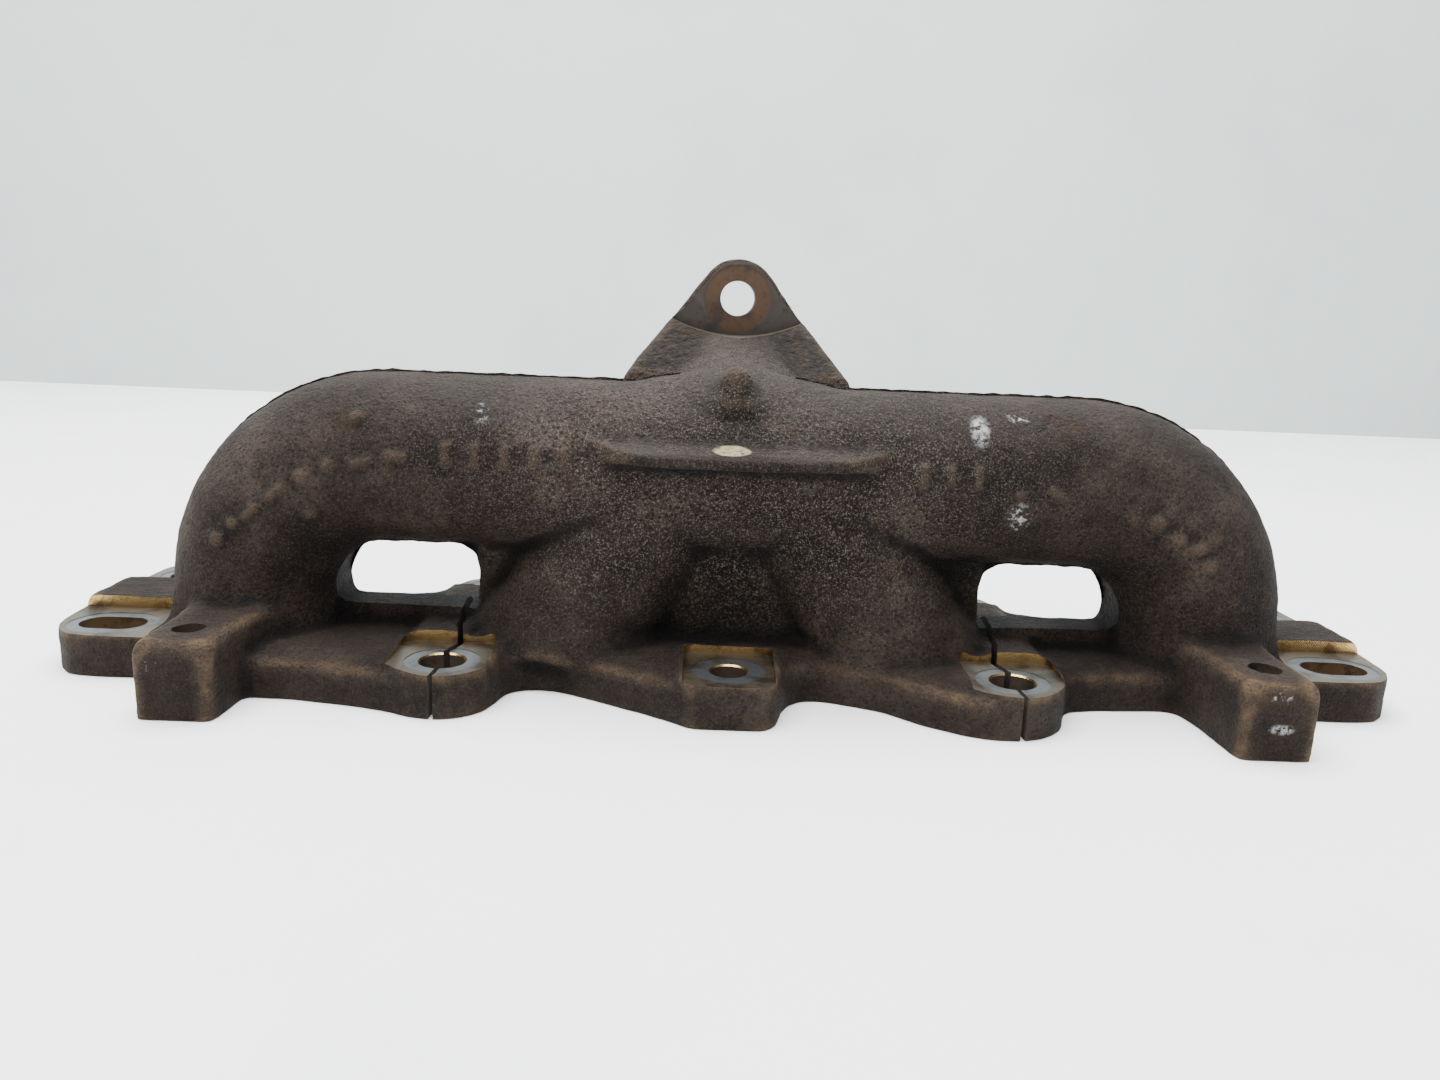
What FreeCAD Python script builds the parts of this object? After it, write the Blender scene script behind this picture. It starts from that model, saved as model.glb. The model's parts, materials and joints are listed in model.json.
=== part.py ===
import FreeCAD, Part
import os
import re
import Sketcher
from FreeCAD import Placement, Rotation, Vector

# Four-cylinder exhaust manifold, cast in one piece.
# Frame: X along the engine, Z up away from the cylinder head, Y towards the outlet.
# The origin is on the head face, midway between the middle ports.
# The casting is fused, machined, and then divided by flat planes into its named sections,
# so that neighbouring sections meet face to face.

doc = FreeCAD.newDocument("ExhaustManifold")

# ---------------------------------------------------------------- driving sizes, mm

SIZES = (
    # ports, runners and log
    ("port_pitch", 87, "centre to centre of neighbouring ports"),
    ("gas_bore", 37, "gas passage through runners and log"),
    ("wall", 5, "iron around the passage in the outer runners and the log"),
    ("inner_wall", 6, "iron around the passage in the inner runners"),
    ("leg_height", 20.3, "head face to where the end runners start to bend"),
    ("bend_radius", 37, "centreline radius of the two end bends"),
    ("saddle_half_depth", 12, "wall that joins the inner runners, half its depth"),
    # head flange
    ("flange_top", 14, "rough top of the flange beside the runners"),
    ("flange_edge", 9.5, "thickness at the flange edge between ears"),
    ("edge_roll", 5, "depth over which the top falls to the edge thickness"),
    ("front_margin", 1.5, "outer runners to the front edge in its recesses"),
    ("rear_margin", 5.5, "outer runners to the rear edge"),
    ("ramp_depth", 12.5, "how far the edge beside the left lug stands out from the recesses"),
    ("end_margin", 15, "outer slots to the ends of the flange"),
    # bolting to the head
    ("bolt_row", 35, "port line to each row of bolts"),
    ("ear_radius", 12.5, "outside radius of a bolt ear"),
    ("inner_bolt_inset", 14.6, "inner bolts inboard of the middle between two ports"),
    ("inner_hole", 11.4, "inner bolt holes"),
    ("centre_hole", 9.4, "centre bolt hole"),
    ("outer_bolt_offset", 35.5, "outer slots outboard of the end ports"),
    ("outer_front_row", 14.8, "port line to the outer front slots"),
    ("slot_width", 10.5, "outer slots across"),
    ("slot_length", 17.3, "outer slots end to end"),
    ("outer_ear_front", 11.7, "outer front slots to the edge in front of them"),
    ("outer_ear_rear", 17, "outer rear slots to the edge behind them"),
    ("outer_ear_inset", 16, "outer slots to where the rear ears meet the plate"),
    ("ear_corner", 6, "corner cut of the outer ears"),
    ("pad_height", 11, "machined bolt pads above the head face"),
    ("pad_reach", 15, "bolt row to the step at the end of a pad"),
    ("rear_pad_reach", 7, "the same at the rear inner bolts"),
    # slits that let the flange grow
    ("slit_gap", 1.5, "width of the slits"),
    ("slit_kink_out", 1.2, "how far the slit wanders out at the port line"),
    ("slit_kink_in", 1.4, "how far it wanders in at the pad steps"),
    # webs under the windows
    ("web_top", 16.5, "top of the web between two runners"),
    ("web_half_depth", 6, "half the depth of that web"),
    # heat shield lugs
    ("lug_offset", 1.3, "lugs outboard of the end ports"),
    ("lug_width", 17.5, "width of a lug"),
    ("lug_front", 54, "port line to the front face of a lug"),
    ("lug_top", 19.5, "top of a lug"),
    ("lug_round", 3, "rounding of a lug"),
    ("lug_hole", 7.8, "lug hole, for the heat shield screw"),
    ("lug_hole_inset", 11, "front face of a lug to its hole"),
    # datum ledge and feeder stub
    ("ledge_half", 34, "half length of the ledge"),
    ("ledge_reach", 6.5, "how far the ledge stands out from the log"),
    ("ledge_taper", 6, "how much the ends of the ledge run back"),
    ("ledge_rise", 7.7, "log axis to the top of the ledge"),
    ("ledge_thick", 5, "thickness of the ledge"),
    ("stub_radius", 4.8, "radius of the feeder stub's dome"),
    ("stub_row", 9, "port line to the stub"),
    ("stub_lift", 0.2, "log top to the centre of the stub's dome"),
    # outlet
    ("neck_root_extra", 3, "how much wider the neck starts than the log"),
    ("neck_root_rise", 1.7, "log axis to the centre of the neck's root"),
    ("neck_wall", 7, "iron around the outlet bore where the neck ends"),
    ("outlet_bore", 44, "bore of the outlet"),
    ("outlet_rise", 9.7, "log axis to the centre of the outlet"),
    ("outlet_face", 60, "port line to the outlet face"),
    ("outlet_thick", 12, "thickness of the outlet flange"),
    ("outlet_rim", 2, "how far the flange stands out around the neck"),
    ("outlet_ear", 12, "outside radius of its bolt ears"),
    ("outlet_hole", 10.8, "its bolt holes"),
    ("outlet_bolt_up", 36, "outlet centre up to the top bolt"),
    ("outlet_bolt_down", 12, "outlet centre down to the lower bolts"),
    ("outlet_low_half", 36, "half spacing of the lower bolts"),
    ("cutter_radius", 47, "radius of the cut that faces the top ear"),
    ("cutter_drop", 11.2, "top bolt to the lowest point of that cut"),
    # where the casting is divided
    ("centre_half", 36, "half length of the collector's centre section"),
    ("neck_gap", 1.5, "inner runners to where the neck section starts"),
    ("over", 1, "how far cutting shapes run past a face"),
    ("far", 400, "beyond the casting in every direction"),
)
ALIASES = {alias for alias, _, _ in SIZES}

sheet = doc.addObject("Spreadsheet::Sheet", "Sizes")
for row, (alias, value, note) in enumerate(SIZES, start=1):
    sheet.set("A%d" % row, note)
    sheet.set("B%d" % row, str(value))
    sheet.setAlias("B%d" % row, alias)
doc.recompute()

# Sizes and places that several shapes share, as formulas in the sheet's words.
RUNNER_OD = "(gas_bore + 2 * wall)"
INNER_RUNNER_OD = "(gas_bore + 2 * inner_wall)"
MID_WALL = "(gas_bore + wall) / 2"
INNER_MID_WALL = "(gas_bore + inner_wall) / 2"
INNER_PORT = "(0.5 * port_pitch)"
OUTER_PORT = "(1.5 * port_pitch)"
LOG_HEIGHT = "(leg_height + bend_radius)"
LOG_UNDERSIDE = "(%s - %s / 2)" % (LOG_HEIGHT, RUNNER_OD)
BEND_START = "(%s - bend_radius)" % OUTER_PORT
LEG_INNER_SIDE = "(%s - %s / 2)" % (OUTER_PORT, RUNNER_OD)
FRONT_EDGE = "(%s / 2 + front_margin)" % RUNNER_OD
REAR_EDGE = "(%s / 2 + rear_margin)" % RUNNER_OD
CROWN_HALF = "(%s - edge_roll)" % FRONT_EDGE
INNER_BOLT = "(port_pitch - inner_bolt_inset)"
OUTER_BOLT = "(%s + outer_bolt_offset)" % OUTER_PORT
FLANGE_END = "(%s + end_margin)" % OUTER_BOLT
OUTER_EAR_INNER = "(%s - outer_ear_inset)" % OUTER_BOLT
OUTER_EAR_FRONT = "(outer_front_row + outer_ear_front)"
OUTER_EAR_REAR = "(bolt_row + outer_ear_rear)"
LUG_X = "(%s + lug_offset)" % OUTER_PORT
LUG_SIDES = ("%s - lug_width / 2" % LUG_X, "%s + lug_width / 2" % LUG_X)
SLIT_AT_WEB = "(%s + slit_kink_out)" % INNER_BOLT
LEDGE_TOP = "(%s + ledge_rise)" % LOG_HEIGHT
LEDGE_FRONT = "(%s / 2 + ledge_reach)" % RUNNER_OD
STUB_HEIGHT = "(%s + %s / 2 + stub_lift)" % (LOG_HEIGHT, RUNNER_OD)
NECK_START = "(%s / 2 + neck_gap)" % INNER_RUNNER_OD
NECK_ROOT = "(%s + neck_root_rise)" % LOG_HEIGHT
NECK_END_OD = "(outlet_bore + 2 * neck_wall)"
OUTLET_HEIGHT = "(%s + outlet_rise)" % LOG_HEIGHT
OUTLET_FRONT = "(outlet_face - outlet_thick)"
OUTLET_TOP = "(%s + outlet_bolt_up)" % OUTLET_HEIGHT
OUTLET_LOW = "(%s - outlet_bolt_down)" % OUTLET_HEIGHT
SIDES = (("left", "-"), ("right", ""))


# ---------------------------------------------------------------- helpers

def formula(text):
    """Turn the sheet's words into references to its cells."""
    return re.sub(r"[a-z_]+", lambda m: "Sizes." + m[0] if m[0] in ALIASES else m[0], text)


def bind(obj, **properties):
    for name, text in properties.items():
        obj.setExpression(name, formula(text))


def place(obj, x, y, z, rotation=Rotation()):
    obj.Placement = Placement(Vector(), rotation)
    for axis, text in zip("xyz", (x, y, z)):
        obj.setExpression("Placement.Base." + axis, formula(text))


def box(name, x, y, z):
    """A box between two limits along each axis."""
    obj = doc.addObject("Part::Box", name)
    place(obj, x[0], y[0], z[0])
    length, width, height = ("(%s) - (%s)" % (high, low) for low, high in (x, y, z))
    bind(obj, Length=length, Width=width, Height=height)
    return obj


def cylinder(name, diameter, foot, length, axis="z"):
    """A cylinder that stands at foot and runs along +X, +Y or +Z."""
    turns = {"x": Rotation(Vector(0, 1, 0), 90), "y": Rotation(Vector(1, 0, 0), -90), "z": Rotation()}
    obj = doc.addObject("Part::Cylinder", name)
    place(obj, *foot, turns[axis])
    bind(obj, Radius="(%s) / 2" % diameter, Height=length)
    return obj


def prism(name, corners, low, high, plane="xy"):
    """A straight-sided prism on a sketched polygon: along Z from a plan, along X or Y from a section."""
    turns = {
        "xy": Rotation(),
        "xz": Rotation(Vector(1, 0, 0), 90),  # extrudes along -Y
        "yz": Rotation(Vector(1, 1, 1), 120),  # extrudes along +X
    }
    sketch = doc.addObject("Sketcher::SketchObject", name + "_outline")
    count = len(corners)
    ring = [Rotation(Vector(0, 0, 1), 360.0 * k / count).multVec(Vector(100, 0, 0)) for k in range(count)]
    for k in range(count):
        sketch.addGeometry(Part.LineSegment(ring[k], ring[(k + 1) % count]), False)
    for k in range(count):
        sketch.addConstraint(Sketcher.Constraint("Coincident", k, 2, (k + 1) % count, 1))
    for k, corner in enumerate(corners):
        for kind, text, start in zip(("DistanceX", "DistanceY"), corner, ring[k]):
            index = sketch.addConstraint(Sketcher.Constraint(kind, -1, 1, k, 1, start))
            sketch.setExpression("Constraints[%d]" % index, formula(text))
    start = {"xy": ("0", "0", low), "xz": ("0", high, "0"), "yz": (low, "0", "0")}[plane]
    place(sketch, *start, turns[plane])
    obj = doc.addObject("Part::Extrusion", name)
    obj.Base = sketch
    obj.DirMode = "Normal"
    obj.Solid = True
    bind(obj, LengthFwd="(%s) - (%s)" % (high, low))
    return obj


def fuse(name, shapes):
    obj = doc.addObject("Part::MultiFuse", name)
    obj.Shapes = shapes
    return obj


def cut(name, base, tool):
    obj = doc.addObject("Part::Cut", name)
    obj.Base, obj.Tool = base, tool
    return obj


def common(name, one, other):
    obj = doc.addObject("Part::MultiCommon", name)
    obj.Shapes = [one, other]
    return obj


def slot_hole(name, x, y, low, high):
    """A slotted hole along X."""
    ends = [
        cylinder("%s_end_%d" % (name, k), "slot_width",
                 ("%s %s (slot_length - slot_width) / 2" % (x, sign), y, low), "(%s) - (%s)" % (high, low))
        for k, sign in enumerate("-+")
    ]
    middle = box(name + "_middle",
                 ("%s - (slot_length - slot_width) / 2" % x, "%s + (slot_length - slot_width) / 2" % x),
                 ("%s - slot_width / 2" % y, "%s + slot_width / 2" % y), (low, high))
    return fuse(name, ends + [middle])


def across(sign, inner, outer):
    """Limits along X of something that lies between inner and outer on one side."""
    return ("-(%s)" % outer, "-(%s)" % inner) if sign else (inner, outer)


# ---------------------------------------------------------------- the casting, outside

def gas_way(name, diameter, inner_diameter, foot):
    """Two end bends and the log between them, with the inner runners standing under it."""
    log_foot = ("-" + BEND_START, "0", LOG_HEIGHT)
    shapes = [cylinder(name + "_log", diameter, log_foot, "2 * " + BEND_START, "x")]
    for side, sign in SIDES:
        upright = Rotation(Vector(1, 0, 0), 90)
        bend = doc.addObject("Part::Torus", "%s_bend_%s" % (name, side))
        turn = Rotation(Vector(0, 1, 0), -90) * upright if sign else upright
        place(bend, sign + BEND_START, "0", "leg_height", turn)
        bend.Angle3 = 90
        bind(bend, Radius1="bend_radius", Radius2="(%s) / 2" % diameter)
        shapes += [
            bend,
            cylinder("%s_leg_%s" % (name, side), diameter,
                     (sign + OUTER_PORT, "0", foot), "leg_height - (%s)" % foot),
            cylinder("%s_inner_%s" % (name, side), inner_diameter,
                     (sign + INNER_PORT, "0", foot), "%s - (%s)" % (LOG_HEIGHT, foot)),
        ]
    return fuse(name, shapes)


def round_neck(name, root_diameter, end_diameter, end):
    """The neck's outside or its bore: a loft from the log to the given depth."""
    rings = []
    for k, (diameter, depth, height) in enumerate((
        (root_diameter, "0", NECK_ROOT),
        (end_diameter, end, OUTLET_HEIGHT),
    )):
        ring = doc.addObject("Part::Circle", "%s_ring_%d" % (name, k))
        place(ring, "0", depth, height, Rotation(Vector(1, 0, 0), -90))
        bind(ring, Radius="(%s) / 2" % diameter)
        rings.append(ring)
    loft = doc.addObject("Part::Loft", name)
    loft.Sections, loft.Solid, loft.Ruled = rings, True, True
    return loft


def ear(name, x, row):
    """A bolt ear that stands out from the plate, front (row '-') or rear (row '')."""
    boss = cylinder(name + "_boss", "2 * ear_radius", (x, row + "bolt_row", "0"), "flange_top")
    depth = ("-bolt_row", "-" + CROWN_HALF) if row else (CROWN_HALF, "bolt_row")
    neck = box(name + "_neck", ("%s - ear_radius" % x, "%s + ear_radius" % x), depth, ("0", "flange_top"))
    return fuse(name, [boss, neck])


# Seen from the front, each front ear has a long ramp on its left and a short flank on its right.
FRONT_OUTLINE = [
    ("-" + OUTER_EAR_INNER, "-" + FRONT_EDGE),
    ("-" + LUG_X, "-%s - ramp_depth" % FRONT_EDGE),
    ("-%s - 1.7 * ear_radius" % INNER_BOLT, "-%s - 1.25 * ramp_depth" % FRONT_EDGE),
    ("-%s - 0.5 * ear_radius" % INNER_BOLT, "-bolt_row - 0.87 * ear_radius"),
    ("-%s + ear_radius" % INNER_BOLT, "-bolt_row"),
    ("-%s + 1.3 * ear_radius" % INNER_BOLT, "-" + FRONT_EDGE),
    ("-" + INNER_PORT, "-" + FRONT_EDGE),
    ("-0.6 * ear_radius", "-bolt_row - 0.8 * ear_radius"),
    ("ear_radius", "-bolt_row"),
    ("1.5 * ear_radius", "-" + FRONT_EDGE),
    ("0.6 * " + INNER_PORT, "-" + FRONT_EDGE),
    ("%s - 0.8 * ear_radius" % INNER_BOLT, "-bolt_row - 0.6 * ear_radius"),
    ("%s + ear_radius" % INNER_BOLT, "-bolt_row"),
    ("%s + 1.5 * ear_radius" % INNER_BOLT, "-" + FRONT_EDGE),
    (OUTER_EAR_INNER, "-" + FRONT_EDGE),
]
REAR_OUTLINE = [
    (OUTER_EAR_INNER, REAR_EDGE),
    ("%s + 1.5 * ear_radius" % INNER_BOLT, REAR_EDGE),
    ("%s + ear_radius" % INNER_BOLT, "bolt_row"),
    ("%s - ear_radius" % INNER_BOLT, "bolt_row"),
    ("%s - 1.5 * ear_radius" % INNER_BOLT, REAR_EDGE),
]
REAR_OUTLINE += [("-(%s)" % x, y) for x, y in reversed(REAR_OUTLINE)]
CROWN = [
    ("-far", "0"), ("-far", "flange_edge"), ("-" + FRONT_EDGE, "flange_edge"),
    ("-" + CROWN_HALF, "flange_top"), (CROWN_HALF, "flange_top"),
    (FRONT_EDGE, "flange_edge"), ("far", "flange_edge"), ("far", "0"),
]
OUTER_EAR = [
    (LUG_X, "-" + OUTER_EAR_FRONT),
    ("%s - 1.5 * ear_corner" % FLANGE_END, "-" + OUTER_EAR_FRONT),
    ("%s - 0.5 * ear_corner" % FLANGE_END, "-%s + ear_corner" % OUTER_EAR_FRONT),
    (FLANGE_END, "-outer_front_row / 3"),
    (FLANGE_END, "%s - ear_corner" % OUTER_EAR_REAR),
    ("%s - ear_corner" % FLANGE_END, OUTER_EAR_REAR),
    ("%s + ear_corner" % OUTER_EAR_INNER, OUTER_EAR_REAR),
    (OUTER_EAR_INNER, "%s - ear_corner" % OUTER_EAR_REAR),
    (OUTER_EAR_INNER, REAR_EDGE),
    (LUG_X, REAR_EDGE),
]

plate = common("plate",
               prism("plate_plan", FRONT_OUTLINE + REAR_OUTLINE, "0", "flange_top"),
               prism("plate_crown", CROWN, "-far", "far", "yz"))

INNER_EARS = [(side + end, sign + INNER_BOLT, row)
              for side, sign in SIDES for end, row in (("_front", "-"), ("_rear", ""))]
ears = [ear("ear_" + name, x, row) for name, x, row in INNER_EARS]
ears.append(ear("ear_centre_front", "0", "-"))

outside = [gas_way("pipes", RUNNER_OD, INNER_RUNNER_OD, "0"),
           round_neck("neck", RUNNER_OD + " + neck_root_extra", NECK_END_OD, OUTLET_FRONT),
           plate] + ears

outside.append(box("saddle",
                   ("-(%s - %s)" % (INNER_PORT, INNER_MID_WALL), "%s - %s" % (INNER_PORT, INNER_MID_WALL)),
                   ("-saddle_half_depth", "saddle_half_depth"),
                   ("0", "%s - %s" % (LOG_HEIGHT, MID_WALL))))

lugs = {}
for side, sign in SIDES:
    outside.append(prism("ear_outer_" + side,
                         [("%s(%s)" % (sign, x), y) for x, y in OUTER_EAR], "0", "flange_top"))
    web_ends = ("%s + %s" % (INNER_PORT, INNER_MID_WALL), "%s - %s" % (OUTER_PORT, MID_WALL))
    outside.append(box("web_" + side, across(sign, *web_ends),
                       ("-web_half_depth", "web_half_depth"), ("0", "web_top")))
    lugs[side] = box("lug_" + side, across(sign, *LUG_SIDES),
                     ("-lug_front", "-" + MID_WALL), ("0", "lug_top"))
doc.recompute()


def round_lug(block):
    """Round the lug's top edges and its two upright front edges."""
    size = block.Shape.BoundBox
    edges = []
    for number, edge in enumerate(block.Shape.Edges, start=1):
        middle = edge.CenterOfMass
        top = abs(middle.z - size.ZMax) < 0.01 and abs(middle.y - size.YMax) > 0.01
        front = abs(middle.y - size.YMin) < 0.01 and abs(middle.z - size.ZMin) > 0.01
        if top or front:
            edges.append((number, float(sheet.lug_round), float(sheet.lug_round)))
    rounded = doc.addObject("Part::Fillet", block.Name + "_rounded")
    rounded.Base = block
    rounded.Edges = edges
    return rounded


outside += [round_lug(block) for block in lugs.values()]

outside.append(prism("ledge", [
    ("-ledge_half", "-" + MID_WALL), ("-ledge_half", "-%s + ledge_taper" % LEDGE_FRONT),
    ("-ledge_half + ledge_taper", "-" + LEDGE_FRONT), ("ledge_half - ledge_taper", "-" + LEDGE_FRONT),
    ("ledge_half", "-%s + ledge_taper" % LEDGE_FRONT), ("ledge_half", "-" + MID_WALL),
], LEDGE_TOP + " - ledge_thick", LEDGE_TOP))

stub = doc.addObject("Part::Sphere", "stub")
place(stub, "0", "-stub_row", STUB_HEIGHT)
bind(stub, Radius="stub_radius")
outside.append(stub)

# The outlet flange wraps round its three bolts and its bore.
RUN = "sqrt(outlet_low_half ^ 2 + (outlet_bolt_up + outlet_bolt_down) ^ 2)"
EAR_OUT = "outlet_ear * (outlet_bolt_up + outlet_bolt_down) / %s" % RUN
EAR_UP = "outlet_ear * outlet_low_half / %s" % RUN
outlet_corners = [
    (EAR_OUT, "%s + %s" % (OUTLET_TOP, EAR_UP)),
    ("outlet_low_half + " + EAR_OUT, "%s + %s" % (OUTLET_LOW, EAR_UP)),
    ("outlet_low_half", OUTLET_LOW + " - outlet_ear"),
]
outlet_corners += [("-(%s)" % x, z) for x, z in reversed(outlet_corners)]
OUTLET_BOLTS = (("top", "0", OUTLET_TOP), ("left", "-outlet_low_half", OUTLET_LOW),
                ("right", "outlet_low_half", OUTLET_LOW))
outside.append(prism("outlet_web", outlet_corners, OUTLET_FRONT, "outlet_face", "xz"))
outside.append(cylinder("outlet_rim_disc", NECK_END_OD + " + 2 * outlet_rim",
                        ("0", OUTLET_FRONT, OUTLET_HEIGHT), "outlet_thick", "y"))
outside += [cylinder("outlet_ear_" + name, "2 * outlet_ear", (x, OUTLET_FRONT, z), "outlet_thick", "y")
            for name, x, z in OUTLET_BOLTS]

casting = fuse("rough_casting", outside)

# ---------------------------------------------------------------- gas passages and machining

BELOW = "-over"
ABOVE = "flange_top + over"
removed = [gas_way("passages", "gas_bore", "gas_bore", BELOW),
           round_neck("outlet_passage", "gas_bore", "outlet_bore", OUTLET_FRONT),
           cylinder("outlet_mouth", "outlet_bore", ("0", OUTLET_FRONT, OUTLET_HEIGHT),
                    "outlet_thick + over", "y"),
           cylinder("centre_bolt", "centre_hole", ("0", "-bolt_row", BELOW), ABOVE + " - (%s)" % BELOW)]
removed += [cylinder("outlet_bolt_" + name, "outlet_hole", (x, OUTLET_FRONT + " - over", z),
                     "outlet_thick + 2 * over", "y") for name, x, z in OUTLET_BOLTS]
removed += [cylinder("inner_bolt_" + name, "inner_hole", (x, row + "bolt_row", BELOW),
                     ABOVE + " - (%s)" % BELOW) for name, x, row in INNER_EARS]


def pad_cut(name, x, row):
    """The cutter's path over one inner pad, down to pad_height."""
    reach = "bolt_row + ear_radius + over"
    depth = ("-(%s)" % reach, "-bolt_row + pad_reach") if row else ("bolt_row - rear_pad_reach", reach)
    width = ("%s - ear_radius - over" % x, "%s + ear_radius + over" % x)
    return box(name, width, depth, ("pad_height", ABOVE))


removed += [pad_cut("pad_" + name, x, row) for name, x, row in INNER_EARS]
removed.append(pad_cut("pad_centre_front", "0", "-"))

PAD_START = OUTER_BOLT + " - (slot_length - slot_width) / 2 - ear_radius"
for side, sign in SIDES:
    pad_x = across(sign, PAD_START, FLANGE_END + " + over")
    removed += [
        box("pad_outer_front_" + side, pad_x,
            ("-%s - over" % OUTER_EAR_FRONT, "-outer_front_row + pad_reach"), ("pad_height", ABOVE)),
        box("pad_outer_rear_" + side, pad_x,
            ("bolt_row - pad_reach", OUTER_EAR_REAR + " + over"), ("pad_height", ABOVE)),
        slot_hole("slot_front_" + side, sign + OUTER_BOLT, "-outer_front_row", BELOW, ABOVE),
        slot_hole("slot_rear_" + side, sign + OUTER_BOLT, "bolt_row", BELOW, ABOVE),
        cylinder("lug_screw_" + side, "lug_hole", (sign + LUG_X, "-lug_front + lug_hole_inset", BELOW),
                 "lug_top + 2 * over"),
    ]

# The slits wander from the front edge, through both inner bolt holes, to the rear edge.
SLIT = (
    ("0", "-bolt_row - ear_radius - over"),
    ("0", "-bolt_row"),
    ("-slit_kink_in", "-bolt_row + pad_reach"),
    ("slit_kink_out", "-web_half_depth"),
    ("slit_kink_out", "web_half_depth"),
    ("-slit_kink_in", "bolt_row - rear_pad_reach"),
    ("0", "bolt_row"),
    ("0", "bolt_row + ear_radius + over"),
)
for side, sign in SIDES:
    outer_wall = [("%s(%s + %s + slit_gap / 2)" % (sign, INNER_BOLT, x), y) for x, y in SLIT]
    inner_wall = [("%s(%s + %s - slit_gap / 2)" % (sign, INNER_BOLT, x), y) for x, y in SLIT]
    removed.append(prism("slit_" + side, outer_wall + inner_wall[::-1], BELOW, "web_top + over"))

# A large disc cutter faces the top ear and leaves a curved step above the neck.
removed.append(cylinder("ear_cutter", "2 * cutter_radius",
                        ("0", NECK_START, OUTLET_TOP + " - cutter_drop + cutter_radius"),
                        "%s - %s" % (OUTLET_FRONT, NECK_START), "y"))

casting = cut("manifold", casting, fuse("machining", removed))

# ---------------------------------------------------------------- sections

SLIT_MIDDLE = [("%s + %s" % (INNER_BOLT, x), y) for x, y in SLIT]
EVERY_Y = ("-far", "far")
FLANGE_Z = ("-over", "flange_top")
LUG_REAR = "-" + OUTER_EAR_FRONT


def lug_zone(side, sign):
    return box("zone_shield_boss_" + side, across(sign, *LUG_SIDES),
               ("-far", LUG_REAR), ("-over", "lug_top + over"))


zones = {}
for side, sign in SIDES:
    lug = lug_zone(side, sign)
    end_outline = SLIT_MIDDLE + [("far", "far"), ("far", "-far")]
    end = prism("zone_flange_end_" + side, [("%s(%s)" % (sign, x), y) for x, y in end_outline], *FLANGE_Z)
    zones["head_flange_" + side] = cut("zone_head_flange_" + side, end, lug)
    zones["shield_boss_" + side] = lug
    zones["port_web_" + side] = box("zone_port_web_" + side, across(sign, SLIT_AT_WEB, LEG_INNER_SIDE),
                                    EVERY_Y, ("flange_top", "leg_height"))
    leg = box("zone_leg_" + side, across(sign, LEG_INNER_SIDE, "far"),
              (LUG_REAR, "far"), ("flange_top", "far"))
    bend = box("zone_bend_" + side, across(sign, BEND_START, LEG_INNER_SIDE), EVERY_Y, ("leg_height", "far"))
    zones["runner_outer_" + side] = fuse("zone_runner_outer_" + side, [leg, bend])
    zones["runner_inner_" + side] = box("zone_runner_inner_" + side, across(sign, "0", SLIT_AT_WEB),
                                        ("-" + NECK_START, NECK_START), ("flange_top", LOG_UNDERSIDE))
    zones["collector_" + side] = box("zone_collector_" + side, across(sign, "centre_half", BEND_START),
                                     ("-" + NECK_START, NECK_START), (LOG_UNDERSIDE, "far"))

centre_outline = SLIT_MIDDLE + [("-(%s)" % x, y) for x, y in reversed(SLIT_MIDDLE)]
zones["head_flange_centre"] = prism("zone_head_flange_centre", centre_outline, *FLANGE_Z)
ledge_zone = box("zone_datum_ledge", ("-centre_half", "centre_half"), ("-far", "-" + MID_WALL),
                 (LEDGE_TOP + " - ledge_thick", LEDGE_TOP))
stub_zone = box("zone_feeder_stub", ("-stub_radius - over", "stub_radius + over"),
                ("-stub_row - stub_radius - over", "-stub_row + stub_radius + over"), (STUB_HEIGHT, "far"))
middle = box("zone_middle", ("-centre_half", "centre_half"), ("-far", NECK_START), (LOG_UNDERSIDE, "far"))
details = fuse("zone_details", [ledge_zone, stub_zone])
zones["collector_centre"] = cut("zone_collector_centre", middle, details)
zones["datum_ledge"] = ledge_zone
zones["feeder_stub"] = stub_zone
zones["outlet_neck"] = box("zone_outlet_neck", ("-centre_half", "centre_half"), (NECK_START, OUTLET_FRONT),
                           ("flange_top", "far"))
zones["outlet_flange"] = box("zone_outlet_flange", ("-far", "far"),
                             (OUTLET_FRONT, "far"), ("flange_top", "far"))

nodes = []
for name, zone in zones.items():
    section = common(name, casting, zone)
    section.Label = name
    nodes.append(section)
doc.recompute()

# ---------------------------------------------------------------- checks and files

for obj in doc.Objects:
    if "Invalid" in obj.State or "Error" in obj.State:
        raise RuntimeError("%s failed: %s" % (obj.Name, obj.State))
for section in nodes:
    if section.Shape.isNull() or not section.Shape.isValid() or not section.Shape.Solids:
        raise RuntimeError("%s has no valid solid" % section.Label)

os.makedirs("parts", exist_ok=True)
for section in nodes:
    section.Shape.exportStep("parts/%s.step" % section.Label)
    print("%-22s %2d solid(s) %10.0f mm3" % (section.Label, len(section.Shape.Solids), section.Shape.Volume))
print("whole casting %10.0f mm3, sections %10.0f mm3" % (
    casting.Shape.Volume, sum(section.Shape.Volume for section in nodes)))
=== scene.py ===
import json
import math

import bpy
import numpy as np
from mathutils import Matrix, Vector, kdtree, noise


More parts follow.
